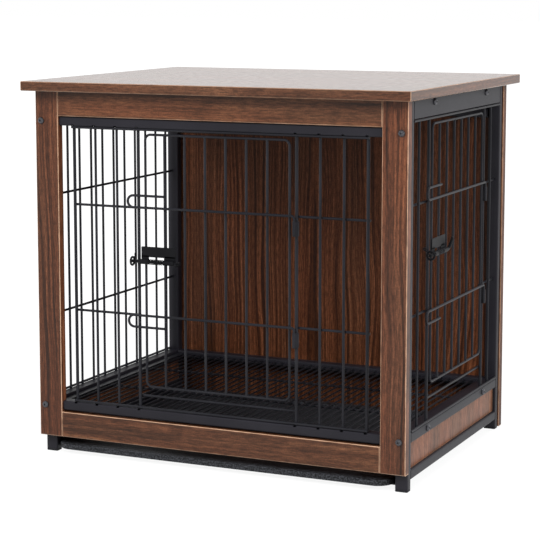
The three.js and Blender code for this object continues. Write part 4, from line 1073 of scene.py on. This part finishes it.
def placeScrews():
    inBoards, inRails = screwPlaces["boards"], screwPlaces["rails"]
    columns = {"left": inBoards["inset"], "right": table["width"] - inBoards["inset"]}
    spots, names = [], []
    for (end, y), out in zip(inBoards["seats"].items(), (-1, 1)):
        for side, x in columns.items():
            for label, z in inBoards["levels"].items():
                spots.append((place(x, y, z), (0, out, 0)))
                names.append(f"{end}_{side}_{label}_screw")
    makeScrews("board_screws", screw["boardBite"], spots, names)
    spots, names = [], []
    for (side, x), out in zip(inRails["seats"].items(), (-1, 1)):
        for row, (ys, z) in inRails["rows"].items():
            for i, y in enumerate(ys):
                spots.append((place(x, y, z), (out, 0, 0)))
                names.append(f"{side}_{row}_rail_screw_{i + 1}")
    makeScrews("rail_screws", screw["railBite"], spots, names)


placeScrews()
print("screws ready")

# studio: the photograph's camera, soft lamps and white paper
studio = {
    "camera": {"place": (1.22215, -2.74133, 0.75675), "pitch": 7.5, "turn": 24.314, "lens": 122.8, "sensor": 36,
               "shift": -0.0875, "clip": (0.05, 200)},
    "ambient": 0.22, "aim": (0, 0, 0.3),
    "floorReach": 30, "floorPaper": 0.45, "floorWhite": 1.13, "floorNear": 0.8, "nearEdge": (0.5, 1.3),
    "lamps": {
        "keyLamp": {"place": (-1.3, -3.0, 2.5), "size": 1.8, "power": 215, "mirrored": False},
        "fillLamp": {"place": (3.2, -1.3, 1.9), "size": 2.2, "power": 175, "mirrored": False},
        "backLamp": {"place": (1.2, 2.6, 2.6), "size": 2.0, "power": 45, "mirrored": False},
        "topLamp": {"place": (0.2, 0.5, 3.2), "size": 1.6, "power": 75, "mirrored": True},
    },
}


def addCamera():
    view = studio["camera"]
    data = bpy.data.cameras.new("photoCamera")
    data.lens, data.sensor_width, data.shift_y = view["lens"], view["sensor"], view["shift"]
    data.clip_start, data.clip_end = view["clip"]
    camera = bpy.data.objects.new("photoCamera", data)
    camera.location = view["place"]
    camera.rotation_euler = (radians(90 - view["pitch"]), 0, radians(view["turn"]))
    bpy.context.scene.collection.objects.link(camera)
    bpy.context.scene.camera = camera


def addLamps():
    for name, lamp in studio["lamps"].items():
        data = bpy.data.lights.new(name, "AREA")
        data.shape, data.size, data.energy = "SQUARE", lamp["size"], lamp["power"]
        light = bpy.data.objects.new(name, data)
        light.location = lamp["place"]
        light.visible_glossy = lamp["mirrored"]
        aim = Vector(studio["aim"]) - light.location
        light.rotation_euler = aim.to_track_quat("-Z", "Y").to_euler()
        bpy.context.scene.collection.objects.link(light)


def seenRays(tree):
    # 1 for what the camera sees, straight, mirrored or through glass, and 0 for light on the object
    rays = addNode(tree, "ShaderNodeLightPath").outputs
    seen = addNode(tree, "ShaderNodeMath", {"operation": "MAXIMUM"},
                   {0: rays["Is Camera Ray"], 1: rays["Is Glossy Ray"]}).outputs[0]
    return addNode(tree, "ShaderNodeMath", {"operation": "MAXIMUM"},
                   {0: seen, 1: rays["Is Transmission Ray"]}).outputs[0]


def addFloor():
    floor, r = newPiece("studioFloor"), studio["floorReach"]
    floor.data.from_pydata([(-r, -r, 0), (r, -r, 0), (r, r, 0), (-r, r, 0)], [], [(0, 1, 2, 3)])
    material = bpy.data.materials.new("whitePaperFloor")
    material.use_nodes = True
    tree = material.node_tree
    tree.nodes.clear()
    paper = addNode(tree, "ShaderNodeBsdfDiffuse", None, {"Color": [studio["floorPaper"]] * 3 + [1]})
    glow = addNode(tree, "ShaderNodeEmission", None, {"Color": (1, 1, 1, 1), "Strength": studio["floorWhite"]})
    # the paper keeps a faint shadow near the crate and is plain white farther out
    spot = addNode(tree, "ShaderNodeTexCoord").outputs["Object"]
    away = addNode(tree, "ShaderNodeVectorMath", {"operation": "LENGTH"}, {0: spot}).outputs["Value"]
    near, far = studio["nearEdge"]
    glowing = addNode(tree, "ShaderNodeMapRange", None,
                      {"Value": away, 1: near, 2: far, 3: studio["floorNear"], 4: 1}).outputs[0]
    share = addNode(tree, "ShaderNodeMath", {"operation": "MULTIPLY"}, {0: seenRays(tree), 1: glowing}).outputs[0]
    mixed = addNode(tree, "ShaderNodeMixShader", None, {0: share, 1: paper.outputs[0], 2: glow.outputs[0]})
    addNode(tree, "ShaderNodeOutputMaterial", None, {0: mixed.outputs[0]})
    floor.data.materials.append(material)


def addWorld():
    world = bpy.data.worlds.new("studioWorld")
    bpy.context.scene.world = world
    world.use_nodes = True
    tree = world.node_tree
    tree.nodes.clear()
    level = addNode(tree, "ShaderNodeMapRange", None, {"Value": seenRays(tree), 3: studio["ambient"], 4: 1}).outputs[0]
    backdrop = addNode(tree, "ShaderNodeBackground", None, {"Color": (1, 1, 1, 1), "Strength": level})
    addNode(tree, "ShaderNodeOutputWorld", None, {0: backdrop.outputs[0]})


addCamera()
addLamps()
addFloor()
addWorld()
bpy.context.scene.view_settings.view_transform = "Standard"
print("studio ready")
